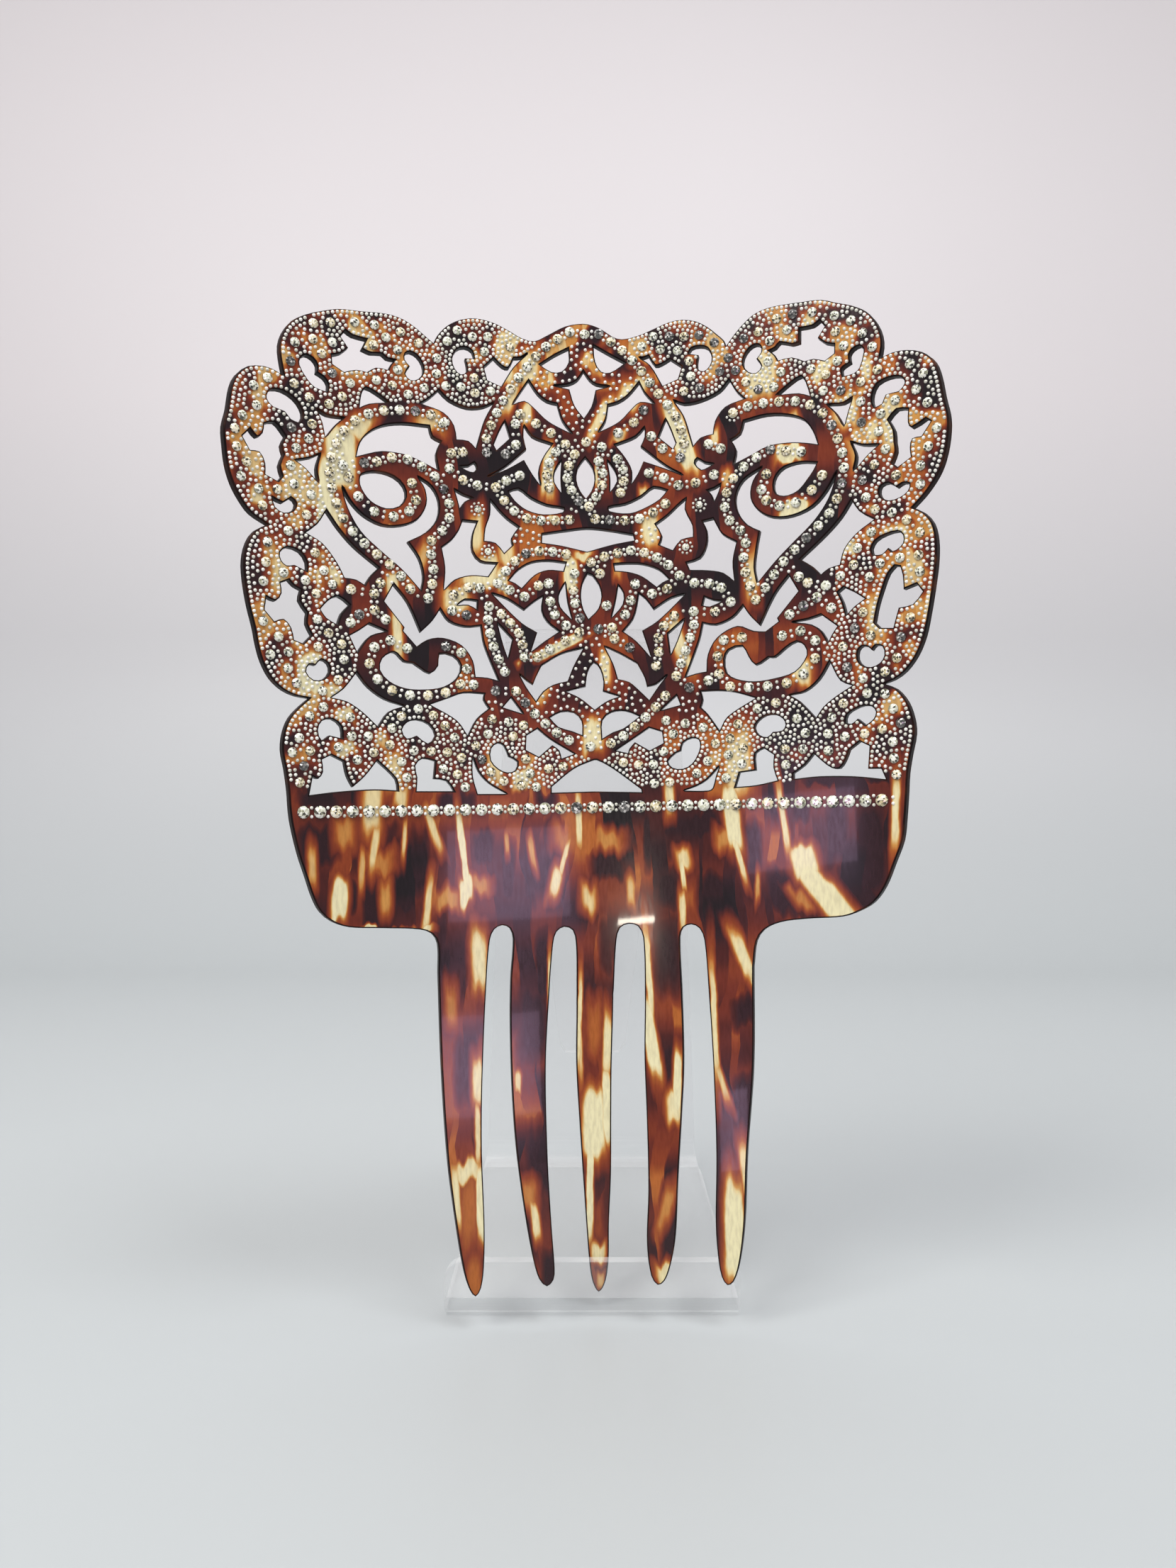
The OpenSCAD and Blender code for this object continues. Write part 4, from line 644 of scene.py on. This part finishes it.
def build_sheet(loops, face, edge):
    """The comb as one closed mesh with rounded edges."""
    curves = [smooth_loop(loop, CURVE_STEP) for loop in loops]
    ways = [inward(curve) for curve in curves]
    spots, tri, source = fill([curve + way * RINGS[0][0] for curve, way in zip(curves, ways)])
    flat = np.concatenate(curves)
    way = np.concatenate(ways)
    count = len(flat)

    chart, depth, normal, faces = [], [], [], []
    across, up, out = directions(flat)
    size = lengths(way)[:, None]
    side = -(across * way[:, :1] + up * way[:, 1:]) / size
    for ring, (inset, behind, tilt) in enumerate(RINGS):
        chart.append(flat + way * inset)
        depth.append(np.full(count, behind))
        normal.append(out * math.cos(math.radians(tilt)) + side * math.sin(math.radians(tilt)))
        if ring:
            first = (ring - 1) * count
            for i, j in pairs_round(curves):
                faces.append((first + j, first + i, first + i + count, first + j + count))
    walls = len(faces)
    total = len(RINGS) * count
    for back in (False, True):
        rim = (len(RINGS) - 1) * count if back else 0
        on_rim = (source >= 0) & (source < count)
        where = np.where(on_rim, rim + source, total + np.cumsum(~on_rim) - 1)
        fresh = spots[~on_rim]
        chart.append(fresh)
        depth.append(np.full(len(fresh), COMB_T if back else 0.0))
        normal.append(directions(fresh)[2] * (-1 if back else 1))
        total += len(fresh)
        faces += [where[t[::-1]] if back else where[t] for t in tri]
    verts = on_sheet(np.concatenate(chart), np.concatenate(depth))
    obj = new_mesh("comb_sheet", verts, [tuple(int(k) for k in f) for f in faces], [face, edge])
    # The walls and rounded rims take the second finish, whose dark colour is painted shade
    slots = np.zeros(len(faces), int)
    slots[:walls] = 1
    obj.data.polygons.foreach_set("material_index", slots)
    obj.data.normals_split_custom_set_from_vertices([tuple(n) for n in np.concatenate(normal)])
    return obj


# Stones

# Rings of a round cut, from its foot to its table, and of a pin (radius, height, turn, count)
STONE_RINGS = [(1.0, 0.0, 0, 16), (1.0, 0.32, 0, 16), (0.78, 0.74, 0.5, 8), (0.5, 1.0, 0, 8)]
PIN_RINGS = [(1.0, 0.0, 0, 8), (0.84, 0.55, 0, 8)]
TOP = (0, 0, 1.0)


def ring_of(radius, height, turn, count):
    """Points round a circle, turned by a share of the step from one to the next."""
    angles = [2 * math.pi * (k + turn) / count for k in range(count)]
    return [(radius * math.cos(a), radius * math.sin(a), height) for a in angles]


def cut_stone():
    """Points and facets of a round stone of radius 1 and height 1, with a table and three rows of facets."""
    points = [p for row in STONE_RINGS for p in ring_of(*row)]
    facets = []
    for k in range(16):
        j = (k + 1) % 16
        facets.append(((k, j, 16 + j, 16 + k), "girdle"))
    for k in range(8):
        j = (k + 1) % 8
        a, b, c = 16 + 2 * k, 16 + 2 * k + 1, 16 + (2 * k + 2) % 16
        star, before = 32 + k, 32 + (k - 1) % 8
        facets.append(((a, b, star), "break"))
        facets.append(((b, c, star), "break"))
        facets.append(((a, star, 40 + k, before), "kite"))
        facets.append(((star, 40 + j, 40 + k), "star"))
    facets += [((48, 40 + k, 40 + (k + 1) % 8), "table") for k in range(8)]
    return np.array(points + [TOP]), facets


def round_pin():
    points = [p for row in PIN_RINGS for p in ring_of(*row)]
    facets = [((k, (k + 1) % 8, 8 + (k + 1) % 8, 8 + k), "side") for k in range(8)]
    facets += [((8 + k, 8 + (k + 1) % 8, 16), "cap") for k in range(8)]
    return np.array(points + [TOP]), facets


# Colours of the facets of three kinds of stone: how often each comes, and the colour. The kinds differ in
# their own tint; the light and dark facets within a kind are painted reflections, the stones' sparkle
CLEAR = [(7, "fcfff0"), (4, "f0f3dc"), (3, "cfd2b6"), (2, "929478"), (2, "504d3e"), (2, "24221c")]
WARM = [(6, "fffbe2"), (4, "efe6bd"), (3, "cfc292"), (2, "8f8460"), (2, "544c34"), (2, "2a2618")]
DARK = [(2, "e5e3db"), (3, "8c8b85"), (4, "565652"), (4, "2c2c29"), (2, "141413")]
PIN_METALS = ["f5f7ec", "e7e9db", "d3d5c5"]
# The dark colour of a stone's girdle, round its foot, and the painted shade on the facets beside it: how
# much darker they are than its upper ones
GIRDLE_DARK = "2c2620"
RIM_SHADE = 0.7
# How deep the stones and pins sink into the face
SUNK = 0.02


def pick(table):
    point = rng.random() * sum(row[0] for row in table)
    for often, code in table:
        point -= often
        if point <= 0:
            return rgb(code)
    return rgb(table[-1][1])


def sown(name, spots, shape, colours, material, smooth=False):
    """Copies of a small shape on the face, at spots (across, up, width, height, kind), as one mesh."""
    points, facets = shape
    chart = np.array([(s[0], s[1]) for s in spots])
    base = on_sheet(chart, np.zeros(len(spots)))
    across, up, out = directions(chart)
    verts, faces, tints = [], [], []
    for i, (_, _, width, height, kind) in enumerate(spots):
        turn = rng.random() * math.pi
        c, s = math.cos(turn), math.sin(turn)
        x = (points[:, 0] * c - points[:, 1] * s) * width / 2 * MM
        y = (points[:, 0] * s + points[:, 1] * c) * width / 2 * MM
        z = (points[:, 2] * height - SUNK) * MM
        start = len(verts) * len(points)
        verts.append(base[i] + np.outer(x, across[i]) + np.outer(y, up[i]) + np.outer(z, out[i]))
        for corners, part in facets:
            faces.append(tuple(start + k for k in corners))
            tints.append((len(corners), colours(kind, part)))
    obj = new_mesh(name, np.concatenate(verts), faces, [material], smooth)
    tint = obj.data.color_attributes.new("facet", "BYTE_COLOR", "CORNER")
    flat = np.array([(*colour, 1) for n, colour in tints for _ in range(n)])
    tint.data.foreach_set("color", flat.reshape(-1))
    return obj


# Each facet takes a random colour of its stone's kind, which paints the sparkle; the facets beside the
# girdle get painted shade, and the girdle its dark colour
def stone_tints_and_sparkle(kind, part):
    if part == "girdle":
        return rgb(GIRDLE_DARK)
    table = {"clear": CLEAR, "warm": WARM, "dark": DARK}[kind]
    shade = RIM_SHADE if part == "break" else 1.0
    return tuple(shade * channel for channel in pick(table))


def pin_colours(kind, part):
    return rgb(kind)


# Where most of the small stones are of a smoky kind, and how many of each kind there are in 100
SMOKY_ACROSS, SMOKY_UP = (20, 37), (202, 219)
KINDS = ["clear", "warm", "dark"]
SMOKY_SHARES, OTHER_SHARES = [30, 20, 50], [55, 38, 7]


def stone_kind(u, v):
    smoky = SMOKY_ACROSS[0] < u < SMOKY_ACROSS[1] and SMOKY_UP[0] < v < SMOKY_UP[1]
    return rng.choices(KINDS, SMOKY_SHARES if smoky else OTHER_SHARES)[0]


def stone_places(obj):
    """Where the solid's stones stand on the chart, from the loose islands of its mesh."""
    local = to_chart(vertices_of(obj))
    tri = triangles_of(obj)
    spots, ids = merged(local)
    group = np.arange(len(spots))
    links = ids[tri]
    before = None
    while before is None or (group != before).any():
        before = group.copy()
        least = group[links].min(1)
        for corner in links.T:
            np.minimum.at(group, corner, least)
        group = group[group]
    islands = [spots[group == g] for g in np.unique(group[links])]
    return [(points[:, 0].mean(), points[:, 2].mean()) for points in islands]


# The width and height of the stones of the band, the straps, the scallops and the rosettes
BAND_STONE, STRAP_STONE, SCALLOP_STONE, ROSETTE_STONE = (2.75, 0.95), (2.35, 0.85), (2.2, 0.8), (1.7, 0.7)
PIN_HEIGHT = 0.44

loops = chart_loops(nodes["comb"])
sheet = build_sheet(loops, shell_finish("tortoiseshell"), edge_shade_finish("tortoiseshell_edge_shade"))
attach(sheet, "root")
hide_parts("comb")

stone_glass = tinted_finish(
    "cut_stone", Roughness=0.08, IOR=1.7, Metallic=0.1, Coat_Weight=1.0, Coat_Roughness=0.02
)
stone = cut_stone()
band = stone_places(nodes["band_stones"])
straps = stone_places(nodes["strap_stones"])
rows = []
for name, places, size in (("band_row", band, BAND_STONE), ("strap_rows", straps, STRAP_STONE)):
    spots = [(u, v, *size, stone_kind(u, v)) for u, v in places]
    rows.append(sown(name, spots, stone, stone_tints_and_sparkle, stone_glass))
for obj, node in zip(rows, ("band_stones", "strap_stones")):
    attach(obj, "root")
    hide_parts(node)


# Where the stones and pins that are no solids stand

# Stones on the straps of the left half, in the order of the strap that they follow (across, up)
MORE_STONES = [
    (-52.6, 185.9), (-51.9, 182.1), (-50.6, 178.4), (-47.1, 175.9), (-43.4, 174.9), (-40.3, 176.2),
    (-38.8, 178.8), (-39.3, 182.5), (-42.3, 185.4), (-49.4, 186.2), (-27.7, 191.2), (-31.1, 189.7),
    (-31, 186.4), (-27.9, 184.2), (-24.4, 182.9), (-21.1, 183), (-18.3, 184.2), (-14.6, 185.9),
    (-15.2, 200.3), (-15.7, 197), (-15.7, 193), (-18.7, 190.6), (-11.2, 197.7), (-7.7, 195.2),
    (-4.6, 193.4), (-20.8, 160.6), (-24.4, 160.2), (-27.5, 159.5), (-30.9, 157.6), (-30.9, 154),
    (-27.8, 153), (-17.9, 158.9), (-14.4, 157.3), (-11.9, 160.1), (-8.8, 160.5), (-8.7, 156.2), (-7.7, 153),
    (-4.95, 150.8), (-2.1, 148.2), (-2.5, 162.2), (-3.15, 158.5), (-3.2, 155.6), (-1.7, 152.5),
    (-12.3, 143.7), (-9.3, 145.4), (-5.6, 146.9), (-26.4, 136.9), (-21.9, 136.1), (-47.95, 157.4),
    (-46.1, 159.2), (-52.6, 157.6), (-50.3, 155.4), (-51.2, 152.4), (-52.95, 149.8), (-47.5, 152.7),
    (-44.75, 151.3), (-44.7, 146.9), (-47.9, 145.2),
]
MIDDLE_STONES = [(0.6, 219.6), (0.3, 192), (1.9, 176), (0.5, 165.4), (1.35, 150.5), (0.2, 122.1)]
ROSETTES = [(-32, 196.9), (-25, 176.9), (-22.6, 168.1)]

# The field of the straps, inside the ring of scallops: its border on the left half (across, up)
FIELD = [
    (0.5, 226), (-9.5, 217.8), (-12.6, 214.2), (-16.2, 210.6), (-19, 206.1), (-20.7, 202.1), (-26.8, 201.2),
    (-33, 203.6), (-37, 201), (-43.8, 200.7), (-49.9, 199.2), (-53.2, 196.1), (-57, 191.6), (-58.2, 187.2),
    (-58.8, 184), (-58.4, 180.6), (-57.4, 176.5), (-55.7, 172.4), (-51.5, 167.2), (-47.6, 163),
    (-53.6, 160.2), (-54.6, 157.4), (-54, 154.2), (-55, 149.6), (-52.9, 147.3), (-51.3, 143.7),
    (-51.3, 139.2), (-49, 135.4), (-45.6, 132.9), (-41.5, 131.9), (-36, 132.1), (-31, 131), (-27.9, 127.4),
    (-24.5, 129.4), (-19.5, 128.9), (-17, 129.6), (-14.8, 127.2), (-12.2, 126.6), (-9.4, 124.2),
    (-3.9, 120.6), (0.5, 119.8),
]
# The scallops begin at this height
SCALLOPS_FROM = 113.3

# Straps of the field that carry loose rows of pins and no stones
# (across, up, across_end, up_end, half_width), on the left half
PIN_STRAPS = [
    (-0.9, 216.5, -0.7, 208.5, 1.9), (-1.5, 208.6, -10.5, 207.4, 2), (-9.6, 205.6, -5.8, 202.4, 1.8),
    (-5.8, 202.4, -1.8, 197.4, 1.7), (-1.8, 197.4, 0.2, 195.4, 1.5), (0.3, 146.6, -1.8, 141.6, 1.9),
    (-1.8, 141.6, -2.8, 138.2, 1.9), (-3.4, 137, -8.5, 134.2, 2.6), (-10.5, 132.4, -6, 133, 2.2),
    (-6, 133, -1.5, 130.6, 2.2), (-1.5, 130.6, 0.4, 124.6, 2.4), (-16, 171.4, -11.6, 170.8, 1.6),
    (-22.4, 134, -21.4, 131.8, 1.6),
]

# Stones that are a pair: how far from the middle line, and how far at most from a mirror image
BESIDE_MIDDLE, PAIR_WITHIN = 0.5, 2.4
# How a point moves to the middle of its strap: the number of steps and the length of each
CENTRE_STEPS, CENTRE_STEP = 14, 0.1
# Stones of the straps and of the scallops: the room that each needs, and the least gap between two
MORE_ROOM, MORE_GAP, SCALLOP_ROOM, SCALLOP_GAP = 1.0, 0.05, 1.72, 1.15
# The scallops' stones go by chance and by the room at a spot, which counts up to WIDE
SCALLOP_CHANCE, WIDE = 1.2, 2.6
# Pins beside a gap in a row: how far apart its stones are, and how far the pins are from them
CHAIN_APART = (2.45, 4.9)
BAND_REACH, STRAP_REACH = 1.84, 1.62
# The room that the gap needs, the pins' least way from its middle, and how far they stray
CHAIN_ROOM, CHAIN_OFF, CHAIN_STRAY = 0.9, 0.62, 0.06
# The pins beyond the last stones of the band: how far on, and how far up
END_ON, END_UP = 2.05, (-0.75, 0.6)
# Pins round a rosette: their number and the radius of their ring
ROSETTE_PINS, ROSETTE_RING = 9, 1.42
# How far a rosette moves at most to the middle of its strap
ROSETTE_MOVE = 0.8
# Pins along the scallops' edges: how far in, how far apart, and from which height they are
EDGE_IN, EDGE_PITCH, EDGE_FROM = 0.66, 1.0, SCALLOPS_FROM + 0.9
# Pins that fill the scallops: the nearest and the farthest that one may be from the last
NEAREST, FARTHEST = 0.96, 1.24
# They go by the room at a spot, in steps of ROOM_STEP, and a little by chance, as the loose ones do
ROOM_STEP, FILL_CHANCE, LOOSE_CHANCE = 0.3, 0.05, 0.3
# The sides of the square cells in which the things and the scallops' points are looked up
CROWD_CELL, SCALLOP_CELL = 4, 1.3
# The net of points that the scallops are filled from: its spacing, and how far it keeps off the edges
NET, NET_MARGIN = 0.24, 0.5
# Kinds of pins (least gap to the other things, least room to an edge, width)
PIN_KINDS = {
    "chain": (0.0, 0.5, 0.8), "band_end": (0.0, 0.4, 0.8), "rosette": (-0.05, 0.35, 0.62),
    "edge": (0.1, 0.52, 0.82), "filling": (0.13, 0.6, 0.82), "loose": (0.62, 0.66, 0.8),
}


def drift_rows(spots):
    """How far the right half strays from the mirrored left half, from the stones that come in pairs."""
    right = [p for p in spots if p[0] > BESIDE_MIDDLE]
    tree = tree_of(right)
    rows = []
    for u, v in spots:
        near, _, away = tree.find((-u, v, 0))
        if u < -BESIDE_MIDDLE and away < PAIR_WITHIN:
            rows.append((-u, v, near[0] + u, near[1] - v))
    return np.array(rows)


def to_right(point):
    """The place on the right half that matches a place on the left half."""
    gap = (drifts[:, 0] + point[0]) ** 2 + (drifts[:, 1] - point[1]) ** 2
    weight = 1 / (gap + 0.5) ** 2
    move = (drifts[:, 2:] * weight[:, None]).sum(0) / weight.sum()
    return (-point[0] + move[0], point[1] + move[1])


def room(point):
    """How far a point of the sheet is from the nearest outline."""
    return edge_tree.find((point[0], point[1], 0))[2]


def centred(point, reach=1.3):
    """The place near a point that has the most room round it: the middle of its strap."""
    here = np.array(point[:2], float)
    if not inside(here[None], fine_loops)[0]:
        near = edge_tree.find((here[0], here[1], 0))[0]
        away = np.array(near[:2]) - here
        here = here + away * (1 + 1 / max(norm(away), 0.05))
    for _ in range(CENTRE_STEPS):
        near = edge_tree.find((here[0], here[1], 0))[0]
        away = here - np.array(near[:2])
        moved = here + away / max(norm(away), 0.01) * CENTRE_STEP
        if norm(moved - point[:2]) > reach:
            break
        here = moved
    return tuple(here)


def cell(point, size):
    return int(point[0] // size), int(point[1] // size)


def cells_round(point, size):
    """The cells of a square net that lie at and round a point."""
    i, j = cell(point, size)
    return [(a, b) for a in (i - 1, i, i + 1) for b in (j - 1, j, j + 1)]


class Crowd:
    """Round things on the chart that keep their distance from each other."""

    def __init__(self):
        self.cells = {}

    def free(self, point, radius, gap):
        others = [q for at in cells_round(point, CROWD_CELL) for q in self.cells.get(at, ())]
        return all(math.dist(q[:2], point[:2]) >= radius + gap + q[2] for q in others)

    def add(self, point, radius):
        self.cells.setdefault(cell(point, CROWD_CELL), []).append((*point[:2], radius))


def to_capsule(points, row):
    """How far points are from a capsule's middle line, less its half width."""
    a, b = np.array(row[:2]), np.array(row[2:4])
    t = np.clip(((points - a) @ (b - a)) / ((b - a) @ (b - a)), 0, 1)
    return lengths(points - a - t[:, None] * (b - a)) - row[4]


def pin(point, kind):
    """A pin, where the other things and the edges leave it its place; says whether they do."""
    gap, edge, size = PIN_KINDS[kind]
    if crowd.free(point, size / 2, gap) and room(point) > edge:
        crowd.add(point, size / 2)
        pins.append((*point, size))
        return True
    return False


def pins_beside_gaps(chain):
    """A pair of pins beside the gap between two stones of a row."""
    for i, a in enumerate(chain):
        reach = BAND_REACH if i < len(band) else STRAP_REACH
        for b in chain[i + 1 :]:
            apart = math.dist(a, b)
            if not CHAIN_APART[0] < apart < CHAIN_APART[1]:
                continue
            mid = (np.array(a) + b) / 2
            if not inside(mid[None], fine_loops)[0] or room(mid) < CHAIN_ROOM:
                continue
            across = np.array([a[1] - b[1], b[0] - a[0]]) / apart
            off = max(CHAIN_OFF, math.sqrt(max(reach**2 - (apart / 2) ** 2, 0.0)))
            for way in (-off, off):
                pin(mid + across * way + across * rng.uniform(-CHAIN_STRAY, CHAIN_STRAY), "chain")


def pins_at_band_ends():
    for end in (-1, 1):
        outer = max(band, key=lambda p: end * p[0])
        for up in END_UP:
            pin((outer[0] + end * END_ON, outer[1] + up), "band_end")


def pins_along(loop):
    """A row of pins just inside an outline, where it runs round the scallops."""
    line = loop + inward(loop) * EDGE_IN
    run = lengths(np.roll(line, -1, 0) - line)
    along = np.concatenate([[0], np.cumsum(run)])
    count = max(int(along[-1] / EDGE_PITCH), 1)
    closed = np.concatenate([line, line[:1]])
    stops = along[-1] * np.arange(count) / count
    spots = np.array([[np.interp(s, along, closed[:, k]) for k in (0, 1)] for s in stops])
    allowed = ~inside(spots, [field]) & (spots[:, 1] > EDGE_FROM) & inside(spots, fine_loops)
    for p in spots[allowed]:
        pin(p, "edge")


def pins_filling(scallop, space):
    """Pins over the rest of the scallops, each beside another and the nearest to an edge first."""
    cells = {}
    for i, p in enumerate(scallop):
        if space[i] > PIN_KINDS["filling"][1]:
            cells.setdefault(cell(p, SCALLOP_CELL), []).append(i)

    def add_round(point):
        for at in cells_round(point, SCALLOP_CELL):
            for i in cells.get(at, ()):
                away = math.dist(scallop[i], point[:2])
                if NEAREST <= away < FARTHEST:
                    free = round(space[i] / ROOM_STEP) * ROOM_STEP
                    heapq.heappush(front, (free + away + rng.random() * FILL_CHANCE, i))

    front = []
    for p in pins:
        add_round(p)
    while front:
        _, i = heapq.heappop(front)
        if pin(scallop[i], "filling"):
            add_round(scallop[i])


def pins_loose(points):
    """Loose rows of pins on the straps that carry no stones."""
    away = np.full(len(points), np.inf)
    for row in PIN_STRAPS:
        near, far = row[:2], row[2:4]
        for ends in ((near, far), (to_right(near), to_right(far))):
            away = np.minimum(away, to_capsule(points, (*ends[0], *ends[1], row[4])))
    for p in sorted(points[away < 0], key=lambda p: room(p) + rng.random() * LOOSE_CHANCE):
        pin(p, "loose")


drifts = drift_rows(straps)
fine_loops = [smooth_loop(loop, FINE_STEP) for loop in loops]
edge_tree = tree_of(np.concatenate(fine_loops))
field = np.array(FIELD + [to_right(p) for p in reversed(FIELD)])

crowd = Crowd()
pins = []
band_radius, strap_radius, scallop_radius = 1.38, STRAP_STONE[0] / 2, SCALLOP_STONE[0] / 2
for p in band:
    crowd.add(p, band_radius)
for p in straps:
    crowd.add(p, strap_radius)
extra = []
for p in [centred(p) for p in MIDDLE_STONES + MORE_STONES + [to_right(p) for p in MORE_STONES]]:
    if crowd.free(p, strap_radius, MORE_GAP) and room(p) > MORE_ROOM:
        crowd.add(p, strap_radius)
        extra.append(p)
rosettes = [centred(p, ROSETTE_MOVE) for q in ROSETTES for p in (q, to_right(q))]
for p in rosettes:
    crowd.add(p, ROSETTE_STONE[0] / 2)

# The scallops' stones, in loose rows between their edges
every = grid_points(fine_loops, NET, NET_MARGIN)
every = every[every[:, 1] > SCALLOPS_FROM]
in_field = inside(every, [field])
scallop = every[~in_field]
space = np.array([room(p) for p in scallop])
scallop_stones = []
for i in sorted(range(len(scallop)), key=lambda i: rng.random() * SCALLOP_CHANCE - min(space[i], WIDE)):
    p = scallop[i]
    if space[i] > SCALLOP_ROOM and crowd.free(p, scallop_radius, SCALLOP_GAP):
        crowd.add(p, scallop_radius)
        scallop_stones.append(tuple(p))

pins_beside_gaps([*band, *straps, *extra])
pins_at_band_ends()
for p in rosettes:
    for across, up, _ in ring_of(ROSETTE_RING, 0, 0, ROSETTE_PINS):
        pin((p[0] + across, p[1] + up), "rosette")
for loop in fine_loops:
    pins_along(loop)
pins_filling(scallop, space)
pins_loose(every[in_field])

silver = tinted_finish("silver_pin", Metallic=0.1, Roughness=0.25, Coat_Weight=0.5, Coat_Roughness=0.1)
small_stones = [(*p, *STRAP_STONE, stone_kind(*p)) for p in extra]
small_stones += [(*p, *SCALLOP_STONE, stone_kind(*p)) for p in scallop_stones]
small_stones += [(*p, *ROSETTE_STONE, "clear") for p in rosettes]
small = [sown("more_stones", small_stones, stone, stone_tints_and_sparkle, stone_glass)]
pins.sort()
half = len(pins) // 2
for name, some in (("pins_left", pins[:half]), ("pins_right", pins[half:])):
    spots = [(u, v, wide, PIN_HEIGHT, rng.choice(PIN_METALS)) for u, v, wide in some]
    small.append(sown(name, spots, round_pin(), pin_colours, silver, smooth=True))
for obj in small:
    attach(obj, "root")


# The stand

acrylic = Finish(
    "clear_acrylic", IOR=1.49, Base_Color=(0.98, 0.99, 0.99, 1), Coat_Weight=0.3, Coat_Roughness=0.02
)
acrylic.feed("Roughness", acrylic.greys(acrylic.noise(None, 60.0, 2.0), [(0.35, 0.02), (0.75, 0.07)]))
rim = acrylic.node("LayerWeight", {}, Blend=0.2, out=1)
turned = acrylic.node("TexCoord", {}, out=1)
spot = acrylic.place()
# Painted highlights: the sawn sides and the upper edges of the strip are made more opaque white than its
# faces, so they read as catching the light; towards grazing the faces too turn opaque white, a painted
# reflection
sawn_side_highlight = abs(acrylic.vector("DOT_PRODUCT", turned, (1, 0, 0))).line(8, -7)
faces_up = acrylic.vector("DOT_PRODUCT", turned, (0, 0, 1)).line(8, -7)
upper_edge_highlight = faces_up * acrylic.vector("DOT_PRODUCT", spot, (0, 0, 1)).line(400, -2.4)
acrylic.feed("Alpha", rim.line(0.6, 0.02).top(sawn_side_highlight.top(upper_edge_highlight) * 0.3))
nodes["stand"].data.materials.clear()
nodes["stand"].data.materials.append(acrylic.material)


# The studio, in metres

# The floor: where it begins, where it sweeps up, the radius of the sweep, and the wall above it
FLOOR_FRONT, SWEEP_AT, SWEEP_R, WALL_TOP, WALL_HALF = -0.2, 0.45, 0.25, 1.4, 1.6
FRONT = (0, -0.06, 0.12)
WALL = (0.3, 0.6, 0.1)
MAUVE = (1.0, 0.66, 1.0)
# Lamps, and the panes that the polished sheet mirrors
# (name, place, towards, width and height, power, colour)
LAMPS = [
    ("key", (-0.45, -0.6, 0.85), FRONT, (0.45, 0.45), 6.4, (1.0, 0.98, 0.95)),
    ("fill", (0.3, -0.45, 1.1), FRONT, (0.4, 0.4), 4.5, (0.97, 0.98, 1.0)),
    ("wall", (0.25, 0.05, 0.8), WALL, (2.2, 0.5), 4.2, (1.0, 1.0, 1.0)),
    ("pane_0", (0.245, -1.06, 0.104), FRONT, (0.35, 0.097), 0.5, MAUVE),
    ("pane_1", (-0.655, -1.06, 0.125), FRONT, (0.37, 0.09), 0.45, MAUVE),
    ("pane_2", (0.33, -1.06, -0.1), FRONT, (0.33, 0.107), 0.5, MAUVE),
    ("pane_3", (-0.375, -1.06, -0.195), FRONT, (0.09, 0.09), 0.13, MAUVE),
    ("glint", (-0.11, -1.06, 0.046), FRONT, (0.1, 0.006), 0.22, (1.0, 0.93, 0.78)),
]


def plain_finish(name, low, high):
    """A dull paint that turns from its low colour at the floor to its high one on the wall."""
    made = Finish(name, Roughness=0.45)
    place = made.place()
    height = made.vector("DOT_PRODUCT", place, (0, 0, 1))
    share = height.line(2.2, 0.0) + (made.noise(place, 3.0, 2.0) - 0.5) * 0.08
    made.feed("Base Color", made.colours(share, [(0.0, low), (1.0, high)]))
    return made.material


def backdrop():
    """A floor that runs up into a wall in one sweep."""
    line = [(FLOOR_FRONT, 0.0), (SWEEP_AT, 0.0)]
    for a in np.linspace(0.1, math.pi / 2, 14):
        line.append((SWEEP_AT + SWEEP_R * math.sin(a), SWEEP_R - SWEEP_R * math.cos(a)))
    line.append((SWEEP_AT + SWEEP_R, WALL_TOP))
    verts = [(x, y, z) for y, z in line for x in (-WALL_HALF, WALL_HALF)]
    faces = [(2 * k, 2 * k + 1, 2 * k + 3, 2 * k + 2) for k in range(len(line) - 1)]
    obj = new_mesh("backdrop", verts, faces, [plain_finish("pale_wall", "babfc0", "cec9ca")])


def softbox(name, place, towards, size, power, colour):
    light = bpy.data.lights.new(name, "AREA")
    light.shape = "RECTANGLE"
    light.size, light.size_y = size
    light.energy = power
    light.color = colour
    obj = placed(name, light)
    obj.location = place
    obj.rotation_euler = (Vector(towards) - Vector(place)).to_track_quat("-Z", "Y").to_euler()


backdrop()
for lamp in LAMPS:
    softbox(*lamp)

world = bpy.data.worlds.new("studio")
world.use_nodes = True
background = world.node_tree.nodes["Background"]
background.inputs["Color"].default_value = (0.84, 0.84, 0.86, 1)
background.inputs["Strength"].default_value = 0.54
bpy.context.scene.world = world
bpy.context.scene.view_settings.view_transform = "Standard"

camera = bpy.data.cameras.new("camera")
camera.lens = 28
camera.sensor_width = 36
camera.clip_start = 0.01
eye = placed("camera", camera)
eye.location = (-0.001, -0.34, 0.1227)
eye.rotation_euler = (math.pi / 2, 0, 0)
bpy.context.scene.camera = eye
